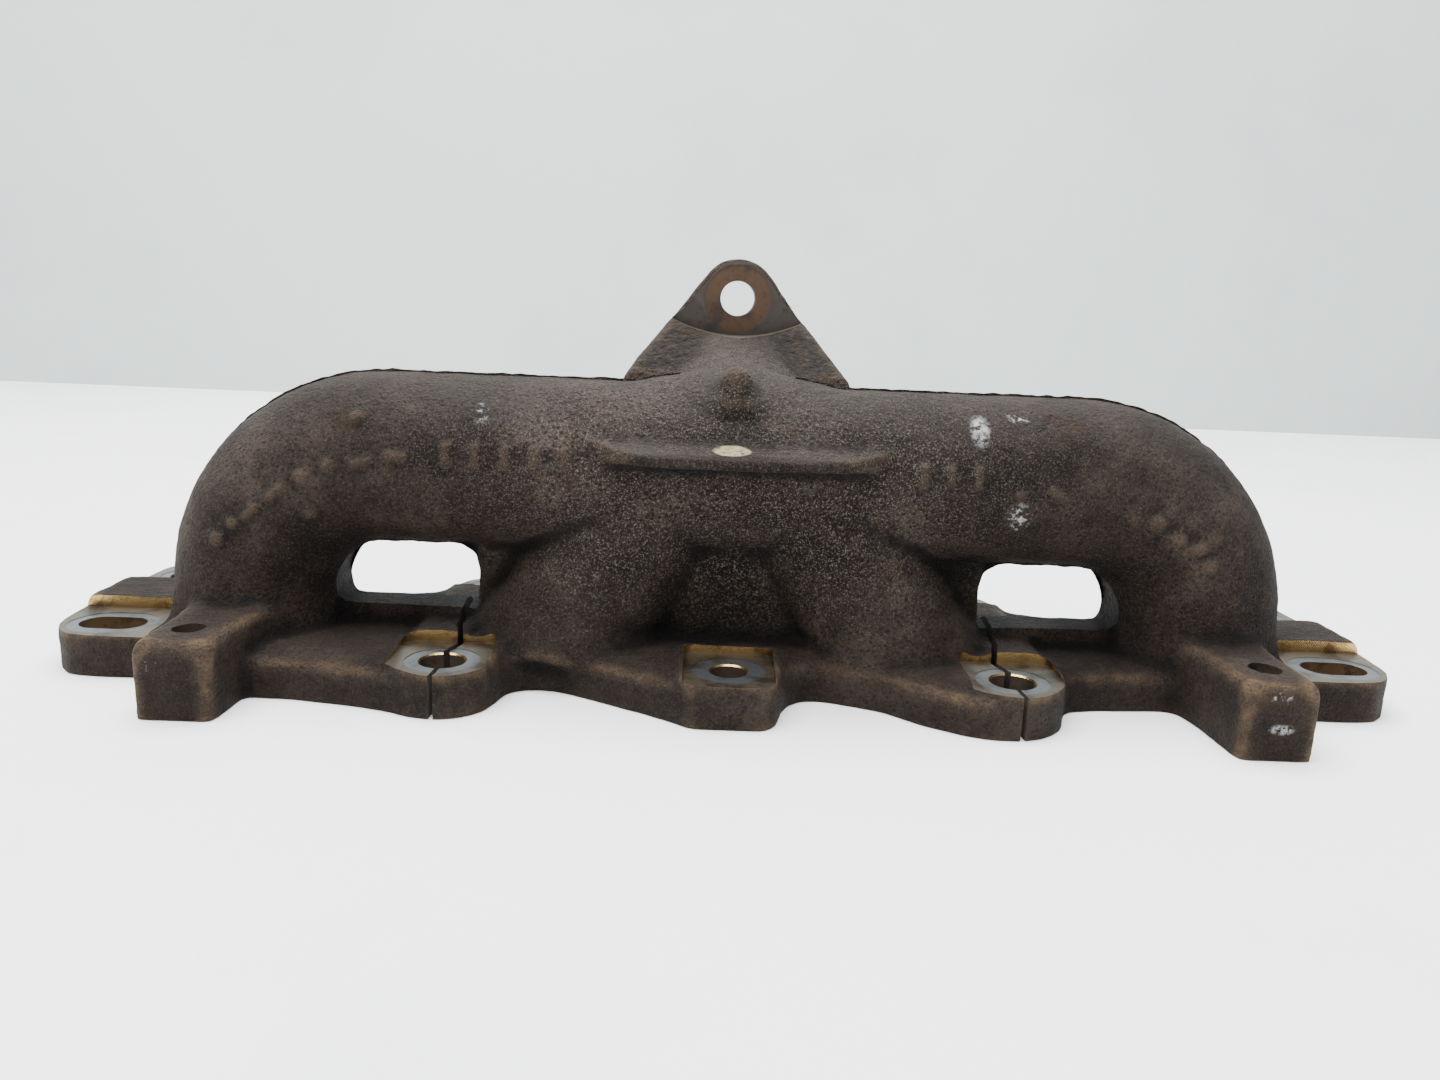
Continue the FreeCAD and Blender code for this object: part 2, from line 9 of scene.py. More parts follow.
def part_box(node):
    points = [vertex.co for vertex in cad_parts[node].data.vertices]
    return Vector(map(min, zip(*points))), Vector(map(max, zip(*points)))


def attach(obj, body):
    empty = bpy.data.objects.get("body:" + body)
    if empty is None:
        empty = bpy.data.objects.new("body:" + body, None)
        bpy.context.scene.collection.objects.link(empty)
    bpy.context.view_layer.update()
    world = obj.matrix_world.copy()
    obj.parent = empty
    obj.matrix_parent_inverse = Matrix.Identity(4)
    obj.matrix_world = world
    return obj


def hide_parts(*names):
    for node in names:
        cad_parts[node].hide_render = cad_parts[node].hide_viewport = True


# A four-cylinder exhaust manifold, one bare iron casting. It is made the way the real one is: a rough
# casting is fused from tubes, plates and bosses and softened, its machined faces are cut,
# and last it is divided into the CAD model's named sections.

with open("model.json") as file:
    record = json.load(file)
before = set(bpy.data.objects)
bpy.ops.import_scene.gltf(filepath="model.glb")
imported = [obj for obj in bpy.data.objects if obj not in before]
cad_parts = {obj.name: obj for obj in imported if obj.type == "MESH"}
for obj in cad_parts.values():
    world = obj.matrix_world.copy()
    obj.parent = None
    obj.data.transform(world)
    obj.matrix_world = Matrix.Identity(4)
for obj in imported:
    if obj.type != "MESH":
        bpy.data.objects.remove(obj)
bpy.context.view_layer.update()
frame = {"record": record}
mm = 0.001                      # the dictionaries below are in millimetres and degrees
mounts = {m["name"]: m for m in frame["record"]["mounts"]}


def mountAt(name):              # a mount's place, in millimetres
    return Vector(mounts[name]["pos_m"]) / mm


def mountSize(name, key):
    return mounts[name]["dims"][key]


def nodeBox(name):              # a CAD node's lowest and highest corners, in millimetres
    low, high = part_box(name)
    return Vector(low) / mm, Vector(high) / mm


# places that the CAD gives and several pieces share
legHigh = nodeBox("runner_outer_right")[1]
cad = {
    "outerPort": mountAt("port_4").x,
    "innerPort": mountAt("port_3").x,
    "gasRadius": mountSize("port_1", "r_mm"),
    "logRadius": legHigh.y,
    "logAxis": legHigh.z - legHigh.y,
    "boltX": mountSize("inner_bolts", "spacing_x_mm") / 2,
    "boltY": mountSize("inner_bolts", "spacing_y_mm") / 2,
    "slotX": mountSize("outer_front_bolts", "spacing_x_mm") / 2,
    "slotFrontY": mountAt("outer_front_bolts").y,
    "slotRearY": mountAt("outer_rear_bolts").y,
    "outletZ": mountAt("outlet_bore").z,
    "outletY": mountAt("outlet_face").y,
    "earZ": mountAt("outlet_top_bolt").z,
    "lowBoltX": mountSize("outlet_lower_bolts", "spacing_x_mm") / 2,
    "lowBoltZ": mountAt("outlet_lower_bolts").z,
    "lugX": mountAt("shield_screw_right").x,
    "lugY": mountAt("shield_screw_right").y,
}
cad["bendX"] = cad["outerPort"] - 37
cad["bendZ"] = cad["logAxis"] - 37
print("frame loaded, log axis at", round(cad["logAxis"], 2), "mm")


# small tools

def pickOnly(*objects):
    bpy.ops.object.select_all(action="DESELECT")
    for obj in objects:
        obj.select_set(True)
    bpy.context.view_layer.objects.active = objects[0]


def editing(on, select=None):
    bpy.ops.object.mode_set(mode="EDIT" if on else "OBJECT")
    if select:
        bpy.ops.mesh.select_all(action=select)


def started(name):              # the primitive just added, its place moved into its mesh
    obj = bpy.context.object
    obj.name = obj.data.name = name
    bpy.ops.object.transform_apply(location=True, rotation=True, scale=True)
    return obj


def tidied(obj, merge=0.002):   # ends an edit: one closed shell that faces outwards
    bpy.ops.mesh.select_all(action="SELECT")
    bpy.ops.mesh.remove_doubles(threshold=merge * mm)
    bpy.ops.mesh.normals_make_consistent(inside=False)
    editing(False)
    return obj


def traced(name, points, start, depth, plane="xy"):
    # an outline walked corner by corner, filled, then pushed out to its depth
    def spot(a, b, c):
        return Vector({"xy": (a, b, c), "xz": (a, c, b), "yz": (c, a, b)}[plane]) * mm
    bpy.ops.object.select_all(action="DESELECT")
    bpy.ops.mesh.primitive_plane_add(size=mm)
    obj = started(name)
    editing(True)
    bpy.ops.mesh.merge(type="CENTER")
    bpy.ops.transform.translate(value=spot(*points[0], start))
    for here, there in zip(points, points[1:]):
        step = spot(*there, start) - spot(*here, start)
        bpy.ops.mesh.extrude_vertices_move(TRANSFORM_OT_translate={"value": step})
    bpy.ops.mesh.select_all(action="SELECT")
    bpy.ops.mesh.edge_face_add()
    bpy.ops.mesh.extrude_region_move(TRANSFORM_OT_translate={"value": spot(0, 0, depth)})
    return tidied(obj)


def rolledTop(obj, height, width, segments=4):     # rounds the edges at a height
    pickOnly(obj)
    editing(True, "DESELECT")
    editing(False)
    for edge in obj.data.edges:
        edge.select = all(abs(obj.data.vertices[v].co.z / mm - height) < 0.01 for v in edge.vertices)
    editing(True)
    bpy.ops.mesh.select_mode(type="EDGE")
    bpy.ops.mesh.bevel(offset=width * mm, segments=segments, profile=0.5, clamp_overlap=True)
    bpy.ops.mesh.select_mode(type="VERT")
    return tidied(obj)


def sliced(obj, through, slope):        # loses what lies above a sloping plane
    editing(True, "SELECT")
    bpy.ops.mesh.bisect(plane_co=Vector(through) * mm, plane_no=slope, use_fill=True, clear_outer=True)
    return tidied(obj)


def rod(name, low, high, radius, endRadius=None, sides=72):     # a round bar between two places
    low, high = Vector(low) * mm, Vector(high) * mm
    turn = (high - low).to_track_quat("Z", "Y").to_euler()
    bpy.ops.object.select_all(action="DESELECT")
    bpy.ops.mesh.primitive_cone_add(vertices=sides, radius1=radius * mm,
                                    radius2=(radius if endRadius is None else endRadius) * mm,
                                    depth=(high - low).length, location=(low + high) / 2, rotation=turn)
    return started(name)


def block(name, low, high):
    low, high = Vector(low) * mm, Vector(high) * mm
    bpy.ops.object.select_all(action="DESELECT")
    bpy.ops.mesh.primitive_cube_add(size=1, location=(low + high) / 2)
    bpy.context.object.scale = high - low
    return started(name)


def ball(name, centre, radii, detail=32):
    bpy.ops.object.select_all(action="DESELECT")
    bpy.ops.mesh.primitive_uv_sphere_add(segments=2 * detail, ring_count=detail, radius=mm,
                                         location=Vector(centre) * mm)
    bpy.context.object.scale = radii
    return started(name)


def copied(obj, name):          # a copy with its own mesh
    pickOnly(obj)
    bpy.ops.object.duplicate(linked=False)
    twin = bpy.context.object
    twin.name = twin.data.name = name
    return twin


def mirrored(obj, name):        # the same shape on the other side of the middle
    twin = copied(obj, name)
    bpy.ops.transform.resize(value=(-1, 1, 1), center_override=(0, 0, 0))
    bpy.ops.object.transform_apply(location=True, rotation=True, scale=True)
    editing(True)
    return tidied(twin)


def pair(obj):                  # a right-hand shape and its left-hand twin
    return [obj, mirrored(obj, obj.name + "Left")]


def joined(objects, name):
    pickOnly(*objects)
    bpy.ops.object.join()
    objects[0].name = objects[0].data.name = name
    return objects[0]


def applied(obj, kind, **settings):
    pickOnly(obj)
    step = obj.modifiers.new(kind.lower(), kind)
    for key, value in settings.items():
        setattr(step, key, value)
    bpy.ops.object.modifier_apply(modifier=step.name)


def cut(obj, tool, how="DIFFERENCE", keep=False):
    applied(obj, "BOOLEAN", object=tool, operation=how, solver="MANIFOLD", material_mode="TRANSFER")
    if not keep:
        bpy.data.objects.remove(tool)


def sideOf(points, sign):       # an outline drawn for the right, or its left-hand copy
    return [(sign * x, y) for x, y in points]


def wobble(seed, place, size, amount):      # an even, repeatable unevenness
    return noise.noise(Vector((place[0] / size, place[1] / size, seed * 7.3))) * amount


# materials: shared effects first

def newGroup(name, inputs, outputs):
    # an input's value tells its kind: a number, three for a vector (or None), four for a colour
    tree = bpy.data.node_groups.new(name, "ShaderNodeTree")
    for label, value in inputs.items():
        kind = {1: "Float", 3: "Vector", 4: "Color"}[3 if value is None else np.size(value)]
        socket = tree.interface.new_socket(name=label, in_out="INPUT", socket_type="NodeSocket" + kind)
        if value is not None:
            socket.default_value = value
    for label in outputs:
        kind = "NodeSocketColor" if label == "Color" else "NodeSocketFloat"
        tree.interface.new_socket(name=label, in_out="OUTPUT", socket_type=kind)
    return tree, tree.nodes.new("NodeGroupInput"), tree.nodes.new("NodeGroupOutput")


def node(tree, kind, links=None, **settings):
    # one node, with its settings, its input values and its incoming links
    made = tree.nodes.new("ShaderNode" + kind)
    for key, value in settings.items():
        setattr(made, key, value)
    for key, value in (links or {}).items():
        socket = made.inputs[key]
        if isinstance(value, bpy.types.NodeSocket):
            tree.links.new(value, socket)
        else:
            socket.default_value = value
    return made


def ramp(tree, source, low, high, smooth=False):        # 0 below low, 1 above high
    made = node(tree, "MapRange", {"Value": source, "From Min": low, "From Max": high})
    made.interpolation_type = "SMOOTHSTEP" if smooth else "LINEAR"
    return made.outputs["Result"]


def sums(tree, how, first, second, third=None, clamp=False):
    links = {0: first, 1: second}
    if third is not None:
        links[2] = third
    return node(tree, "Math", links, operation=how, use_clamp=clamp).outputs[0]


def times(tree, first, second):
    return sums(tree, "MULTIPLY", first, second)


def line(tree, source, slope, start):       # slope * source + start
    return sums(tree, "MULTIPLY_ADD", source, slope, start)


def blended(tree, amount, first, second):
    return node(tree, "Mix", {0: amount, 6: first, 7: second}, data_type="RGBA",
                blend_type="MIX").outputs[2]


# sand-cast grain: rounded grains, pits between them, and slow unevenness under both
castGrain, gi, go = newGroup("castGrain", {"Vector": None, "Grain Size": 1.1, "Roughness": 0.6},
                             ("Height", "Speckle", "Pits"))
perMetre = sums(castGrain, "DIVIDE", 1000.0, gi.outputs["Grain Size"])
grains = node(castGrain, "TexNoise", {"Vector": gi.outputs["Vector"], "Scale": perMetre, "Detail": 3.0,
                                      "Roughness": gi.outputs["Roughness"], "Distortion": 0.4})
lumps = node(castGrain, "TexNoise",
             {"Vector": gi.outputs["Vector"], "Scale": times(castGrain, perMetre, 0.22),
              "Detail": 2.0, "Roughness": 0.5})
cells = node(castGrain, "TexVoronoi",
             {"Vector": gi.outputs["Vector"], "Scale": times(castGrain, perMetre, 0.8),
              "Randomness": 1.0})
pits = ramp(castGrain, cells.outputs["Distance"], 0.55, 0.12, True)
height = line(castGrain, lumps.outputs[0], 0.9, grains.outputs[0])
castGrain.links.new(line(castGrain, pits, -0.22, height), go.inputs["Height"])
castGrain.links.new(ramp(castGrain, grains.outputs[0], 0.42, 0.66), go.inputs["Speckle"])
castGrain.links.new(pits, go.inputs["Pits"])

# slow stains, as heat and oil leave them
heatStain, gi, go = newGroup("heatStain", {"Vector": None, "Size": 30.0, "Dark": (0.03, 0.02, 0.02, 1),
                                           "Middle": (0.06, 0.05, 0.05, 1), "Light": (0.1, 0.09, 0.08, 1)},
                             ("Color", "Mask"))
perMetre = sums(heatStain, "DIVIDE", 1000.0, gi.outputs["Size"])
slow = node(heatStain, "TexNoise",
            {"Vector": gi.outputs["Vector"], "Scale": perMetre, "Detail": 5.0, "Roughness": 0.62})
darker = blended(heatStain, ramp(heatStain, slow.outputs[0], 0.36, 0.52, True), gi.outputs["Dark"],
                 gi.outputs["Middle"])
heatStain.links.new(blended(heatStain, ramp(heatStain, slow.outputs[0], 0.50, 0.68, True), darker,
                            gi.outputs["Light"]), go.inputs["Color"])
heatStain.links.new(slow.outputs[0], go.inputs["Mask"])

# patches: a broken-edged mask, for rust, chalk, and the dust with its painted sheen
patches, gi, go = newGroup("patches", {"Vector": None, "Size": 12.0, "Amount": 0.5, "Edge": 0.08}, ("Mask",))
perMetre = sums(patches, "DIVIDE", 1000.0, gi.outputs["Size"])
coarse = node(patches, "TexNoise",
              {"Vector": gi.outputs["Vector"], "Scale": perMetre, "Detail": 8.0, "Roughness": 0.7})
low = sums(patches, "SUBTRACT", 1.0, gi.outputs["Amount"])
patches.links.new(ramp(patches, coarse.outputs[0], low, sums(patches, "ADD", low, gi.outputs["Edge"]),
                       True), go.inputs["Mask"])

# how far a point is from a place, as a soft round mask
nearPlace, gi, go = newGroup("nearPlace", {"Vector": None, "Place": (0, 0, 0), "Stretch": (1, 1, 1),
                                           "Inner": 0.01, "Outer": 0.02}, ("Mask", "Distance"))
offset = node(nearPlace, "VectorMath", {0: gi.outputs["Vector"], 1: gi.outputs["Place"]},
              operation="SUBTRACT")
scaled = node(nearPlace, "VectorMath", {0: offset.outputs[0], 1: gi.outputs["Stretch"]},
              operation="MULTIPLY")
reach = node(nearPlace, "VectorMath", {0: scaled.outputs[0]}, operation="LENGTH")
nearPlace.links.new(ramp(nearPlace, reach.outputs["Value"], gi.outputs["Outer"], gi.outputs["Inner"], True),
                    go.inputs["Mask"])
nearPlace.links.new(reach.outputs["Value"], go.inputs["Distance"])


def effect(tree, group, **links):
    made = tree.nodes.new("ShaderNodeGroup")
    made.node_tree = group
    for key, value in links.items():
        socket = made.inputs[key.replace("_", " ")]
        if isinstance(value, bpy.types.NodeSocket):
            tree.links.new(value, socket)
        else:
            socket.default_value = value
    return made


def newMaterial(name, metallic, specular=0.5):
    made = bpy.data.materials.new(name)
    made.use_nodes = True
    tree = made.node_tree
    shader = tree.nodes["Principled BSDF"]
    shader.inputs["Metallic"].default_value = metallic
    shader.inputs["Specular IOR Level"].default_value = specular
    where = tree.nodes.new("ShaderNodeTexCoord").outputs["Object"]
    return made, tree, shader, where


def finished(tree, shader, color, roughness, height, distance, strength=1.0):
    bump = node(tree, "Bump", {"Height": height, "Distance": distance * mm, "Strength": strength})
    tree.links.new(color, shader.inputs["Base Color"])
    tree.links.new(roughness, shader.inputs["Roughness"])
    tree.links.new(bump.outputs[0], shader.inputs["Normal"])


castLook = {
    "dark": (0.0066, 0.0042, 0.0033, 1),
    "middle": (0.0190, 0.0126, 0.0097, 1),
    "light": (0.0440, 0.0312, 0.0240, 1),
    "grit": (0.135, 0.117, 0.102, 1),       # pale grains on the hot middle of the log
    # painted shade for hollows, creases and the low sides of small marks
    "sootAndShade": (0.0050, 0.0042, 0.0040, 1),
    "dustAndSheen": (0.033, 0.029, 0.026, 1),       # matte grey on what faces up: dust, plus a painted sheen where the overhead light falls
    "worn": (0.120, 0.078, 0.042, 1),       # rubbed edges
    "rust": (0.036, 0.018, 0.010, 1),
    # darker brown, low on the flange; also painted shade at the ledge's front
    "darkBrown": (0.0110, 0.0074, 0.0056, 1),
    # paler small high places: rubbed wear plus a painted highlight
    "raised": (0.064, 0.045, 0.031, 1),
    "chalk": (0.50, 0.51, 0.52, 1),
    "polished": (0.34, 0.29, 0.17, 1),
    "sandDark": (0.0045, 0.003, 0.0022, 1), "sandMiddle": (0.0105, 0.0070, 0.0048, 1),
    "sandLight": (0.034, 0.024, 0.0165, 1),
    "grain": 1.0, "bump": 1.0,              # millimetres
    "stainSize": 26.0, "dustAndSheenSize": 34.0, "rustSize": 22.0, "rubSize": 5.0, "sandSize": 2.0,
    "sandGrain": 1.9,
    # places on the part, in metres
    "hottest": (0, -0.01, 0.062), "sandRidge": (0, 0.030, 0.086), "ledgeUnderShade": (0.0015, -0.0318, 0.0625),
    "ledgeSpot": (-0.0013, -0.0252, 0.0662),
    # chalk scuffs: place, stretch, size in millimetres, amount
    "scuffs": [((0.0626, -0.0165, 0.0720), (1.7, 1.0, 0.8), 5.6, 0.60),
               ((0.0724, -0.0150, 0.0755), (0.7, 1.0, 1.8), 3.6, 0.50),
               ((0.0733, -0.0225, 0.0506), (1.1, 1.0, 0.8), 4.4, 0.52),
               ((-0.0657, -0.0180, 0.0725), (1.6, 1.0, 0.7), 3.8, 0.50),
               ((0.1312, -0.0540, 0.0162), (0.9, 1.0, 1.4), 4.4, 0.46),
               ((0.1321, -0.0540, 0.0080), (0.8, 1.0, 1.8), 3.0, 0.58),
               ((-0.1365, -0.0540, 0.0150), (1.0, 1.0, 1.0), 4.4, 0.42)],
}


def masked(tree, group, **links):
    return effect(tree, group, **links).outputs["Mask"]


def castSkin(name, look):
    made, tree, shader, where = newMaterial(name, 0.0, 0.11)
    grain = effect(tree, castGrain, Vector=where, Grain_Size=look["grain"])
    fine = effect(tree, castGrain, Vector=where, Grain_Size=look["grain"] * 0.45, Roughness=0.7)
    stain = effect(tree, heatStain, Vector=where, Size=look["stainSize"], Dark=look["dark"],
                   Middle=look["middle"], Light=look["light"])
    place = node(tree, "SeparateXYZ", {0: where})
    x, y, z = place.outputs
    up = node(tree, "SeparateXYZ", {0: node(tree, "NewGeometry").outputs["Normal"]}).outputs["Z"]
    worn = node(tree, "Attribute", attribute_name="wear").outputs["Fac"]
    hollow = node(tree, "Attribute", attribute_name="hollow").outputs["Fac"]
    relief = node(tree, "Attribute", attribute_name="relief").outputs["Fac"]

    def patch(size, amount, edge):
        return masked(tree, patches, Vector=where, Size=size, Amount=amount, Edge=edge)

    def around(place, stretch, inner, outer):
        return masked(tree, nearPlace, Vector=where, Place=place, Stretch=stretch, Inner=inner, Outer=outer)

    color = stain.outputs["Color"]
    # pale and dark grains, strongest on the hot middle of the log and the inner runners
    middleHeat = around(look["hottest"], (0.72, 1.0, 1.0), 0.022, 0.072)
    gritMask = times(tree, ramp(tree, fine.outputs["Speckle"], 0.42, 0.85),
                     line(tree, middleHeat, 0.58, 0.24))
    color = blended(tree, gritMask, color, look["grit"])
    darkGrains = times(tree, grain.outputs["Pits"], line(tree, middleHeat, 0.20, 0.70))
    color = blended(tree, darkGrains, color, look["dark"])
    # dust on what faces up, plus a painted sheen of the overhead light on the same tops
    dustAndSheenPatch = patch(look["dustAndSheenSize"], 0.60, 0.25)
    dustAndSheen = times(tree, ramp(tree, up, 0.25, 0.98, True), line(tree, dustAndSheenPatch, 0.45, 0.25))
    dustAndSheen = times(tree, dustAndSheen, line(tree, ramp(tree, z, 0.030, 0.070), 0.80, 0.20))
    dustAndSheen = times(tree, dustAndSheen, ramp(tree, y, 0.020, 0.002))
    color = blended(tree, dustAndSheen, color, look["dustAndSheen"])
    # brown burnt sand on the outlet's slope
    slope = times(tree, ramp(tree, y, 0.012, 0.022, True), ramp(tree, z, 0.079, 0.084, True))
    ridge = around(look["sandRidge"], (1.0, 0.3, 0.6), 0.006, 0.014)
    slope = times(tree, slope, line(tree, ridge, -0.75, 1.0))
    sandy = effect(tree, heatStain, Vector=where, Size=look["sandSize"], Dark=look["sandDark"],
                   Middle=look["sandMiddle"], Light=look["sandLight"])
    color = blended(tree, slope, color, sandy.outputs["Color"])
    # darker and browner low on the flange
    lowDown = times(tree, ramp(tree, z, 0.030, 0.012), 0.45)
    color = blended(tree, lowDown, color, look["darkBrown"])
    # rust blooms
    rustPatch = patch(look["rustSize"], 0.44, 0.12)
    color = blended(tree, times(tree, rustPatch, 0.36), color, look["rust"])
    # small high places are paler: rubbed wear plus a painted highlight on their tops; small low ones get
    # painted shade
    reliefHighlightAndWear = times(tree, ramp(tree, relief, 0.12, 0.80), ramp(tree, fine.outputs["Speckle"], -0.6, 0.8))
    # painted shade: the ledge's front edge and underside are darkened where its overhang shades them, and
    # left out of the paler relief
    ledgeUnderShade = around(look["ledgeUnderShade"], (0.08, 1.0, 1.0), 0.0032, 0.0048)
    reliefHighlightAndWear = times(tree, reliefHighlightAndWear, line(tree, ledgeUnderShade, -1.0, 1.0))
    color = blended(tree, times(tree, ledgeUnderShade, 0.55), color, look["darkBrown"])
    color = blended(tree, times(tree, reliefHighlightAndWear, 0.58), color, look["raised"])
    # painted shade around the low sides of small marks
    color = blended(tree, times(tree, ramp(tree, relief, -0.12, -0.70), 0.70), color, look["sootAndShade"])
    # rubbed edges
    rubbed = patch(look["rubSize"], 0.60, 0.22)
    wornMask = times(tree, ramp(tree, worn, 0.30, 1.0), line(tree, rubbed, 0.58, 0.05))
    wornMask = times(tree, wornMask, ramp(tree, z, 0.060, 0.025))
    color = blended(tree, wornMask, color, look["worn"])
    # painted shade: hollows and creases darkened where shadow falls
    color = blended(tree, times(tree, ramp(tree, hollow, 0.08, 0.8), 0.75), color, look["sootAndShade"])
    # chalk and paint scuffs
    chalk = None
    for spot, stretch, size, amount in look["scuffs"]:
        near = around(spot, stretch, size * 0.25 * mm, size * mm)
        broken = patch(1.5, amount, 0.16)
        one = times(tree, near, broken)
        chalk = one if chalk is None else sums(tree, "MAXIMUM", chalk, one)
    color = blended(tree, times(tree, chalk, 0.75), color, look["chalk"])
    # the rubbed spot on the ledge
    polish = around(look["ledgeSpot"], (0.82, 1.25, 1.0), 0.0036, 0.0044)
    polish = times(tree, polish, patch(1.6, 0.66, 0.2))
    color = blended(tree, times(tree, polish, 0.9), color, look["polished"])

    roughness = line(tree, stain.outputs["Mask"], -0.22, 0.80)
    roughness = line(tree, wornMask, -0.18, roughness)
    height = line(tree, fine.outputs["Height"], 0.5, grain.outputs["Height"])
    sandBump = effect(tree, castGrain, Vector=where, Grain_Size=look["sandGrain"],
                      Roughness=0.55).outputs["Height"]
    height = line(tree, times(tree, slope, 1.6), sandBump, height)
    finished(tree, shader, color, roughness, height, look["bump"])
    return made


castIron = castSkin("castSkin", castLook)


# bright and dulled machined faces: fine cutter marks under a tan or grey film.
# Each row: metal, film, roughness, depth of the marks, how metallic
machinedLook = {
    "pad": ((0.092, 0.076, 0.055), (0.033, 0.026, 0.018), 0.42, 0.35, 0.75),
    "seat": ((0.100, 0.108, 0.118), (0.048, 0.047, 0.047), 0.38, 0.25, 0.75),
    "step": ((0.420, 0.280, 0.120), (0.160, 0.098, 0.042), 0.26, 0.50, 0.95),
    "face": ((0.105, 0.092, 0.080), (0.062, 0.050, 0.040), 0.44, 0.60, 0.80),
    "rusty": ((0.062, 0.030, 0.013), (0.026, 0.013, 0.007), 0.60, 0.30, 0.25),
    "ear": ((0.036, 0.028, 0.022), (0.018, 0.0135, 0.0105), 0.58, 0.40, 0.30),
    "bore": ((0.050, 0.034, 0.021), (0.014, 0.010, 0.008), 0.62, 0.80, 0.45),
    "brassy": ((0.120, 0.078, 0.038), (0.040, 0.025, 0.013), 0.44, 0.80, 0.70),
    "torn": ((0.040, 0.028, 0.020), (0.012, 0.009, 0.008), 0.85, 1.60, 0.10),
    # soot lining the gas ways
    "sootAndShade": ((0.060, 0.044, 0.036), (0.018, 0.014, 0.013), 0.90, 1.40, 0.0),
}


def machined(name, metal, film, rough, depth, metallic):
    made, tree, shader, where = newMaterial(name, metallic)
    metal, film = (*metal, 1), (*film, 1)
    filmed = effect(tree, heatStain, Vector=where, Size=9.0, Dark=film, Middle=metal, Light=metal)
    grain = effect(tree, castGrain, Vector=where, Grain_Size=0.7, Roughness=0.7)
    # cutter marks run across the face, a quarter of a millimetre apart
    marks = node(tree, "TexWave",
                 {"Vector": where, "Scale": 950.0, "Distortion": 3.0, "Detail": 2.0, "Detail Scale": 0.6},
                 wave_type="BANDS", bands_direction="DIAGONAL")
    speck = effect(tree, patches, Vector=where, Size=2.2, Amount=0.43, Edge=0.10)
    color = blended(tree, times(tree, speck.outputs["Mask"], 0.55), filmed.outputs["Color"], film)
    color = blended(tree, times(tree, marks.outputs["Fac"], 0.16), color, film)
    roughness = line(tree, filmed.outputs["Mask"], -0.25, rough + 0.12)
    roughness = line(tree, speck.outputs["Mask"], 0.20, roughness)
    height = line(tree, marks.outputs["Fac"], 0.35, grain.outputs["Height"])
    finished(tree, shader, color, roughness, height, 0.06 * depth + 0.01)
    return made


surface = {key: machined(key + "Iron", *look) for key, look in machinedLook.items()}
print("materials made")


# rough casting

log = {"underSpring": 3, "bendSteps": 20, "humpX": 54, "humpY": 21.5, "humpZ": 25.6, "humpLift": 1.0}
runner = {"radius": 24.3, "bendZ": 13, "topX": 17.5, "topZ": 61, "topRadius": 20, "footRadius": 29.6,
          "footLow": 8, "footHigh": 20, "legFootRadius": 25.2, "slimmer": 0.5, "webDepth": 7.5,
          "saddleX": 34, "saddleFront": -11, "saddleBack": 20}


def gasTube(name, radius, low):
    # one bar bent twice: up the left leg, along the log, down the right leg
    bpy.ops.object.select_all(action="DESELECT")
    bpy.ops.mesh.primitive_circle_add(vertices=72, radius=radius * mm, fill_type="NGON",
                                      location=(cad["outerPort"] * mm, 0, low * mm))
    tube = started(name)
    editing(True)
    bpy.ops.mesh.extrude_region_move(TRANSFORM_OT_translate={"value": (0, 0, (cad["bendZ"] - low) * mm)})
    bpy.ops.mesh.spin(steps=log["bendSteps"], angle=math.pi / 2, axis=(0, 1, 0),
                      center=(cad["bendX"] * mm, 0, cad["bendZ"] * mm))
    bpy.ops.mesh.extrude_region_move(TRANSFORM_OT_translate={"value": (-2 * cad["bendX"] * mm, 0, 0)})
    bpy.ops.mesh.spin(steps=log["bendSteps"], angle=math.pi / 2, axis=(0, 1, 0),
                      center=(-cad["bendX"] * mm, 0, cad["bendZ"] * mm))
    bpy.ops.mesh.extrude_region_move(TRANSFORM_OT_translate={"value": (0, 0, (low - cad["bendZ"]) * mm)})
    return tidied(tube)


rough = [gasTube("legsAndLog", cad["logRadius"] - runner["slimmer"], -log["underSpring"])]
print("log and legs bent")
rough.append(ball("logHump", (0, 1.5, cad["logAxis"] + log["humpLift"]),
                  (log["humpX"], log["humpY"], log["humpZ"])))
rough += pair(rod("innerRunner", (cad["innerPort"] - 0.5, 0, runner["bendZ"]),
                  (runner["topX"], 0, runner["topZ"]), runner["radius"], runner["topRadius"]))
rough += pair(rod("innerStem", (cad["innerPort"], 0, -3), (cad["innerPort"] - 0.5, 0, runner["bendZ"] + 3),
                  runner["radius"] + 0.2, runner["radius"]))
rough += pair(rod("innerFoot", (cad["innerPort"], 0, runner["footLow"]),
                  (cad["innerPort"] - 1.5, 0, runner["footHigh"]), runner["footRadius"], runner["radius"]))
rough += pair(rod("legFoot", (cad["outerPort"], 0, runner["footLow"]),
                  (cad["outerPort"], 0, runner["footHigh"]), runner["legFootRadius"],
                  cad["logRadius"] - 0.3))
rough.append(block("runnerWall", (-69, -runner["webDepth"], -3), (69, runner["webDepth"], 44)))
rough.append(block("saddle", (-runner["saddleX"], runner["saddleFront"], -3),
                   (runner["saddleX"], runner["saddleBack"], 60)))
rough += pair(block("windowPlate", (60, -4, -3), (118, 4, 44)))
rough += pair(block("windowSill", (60, -6.5, -3), (112, 6.5, 16.2)))

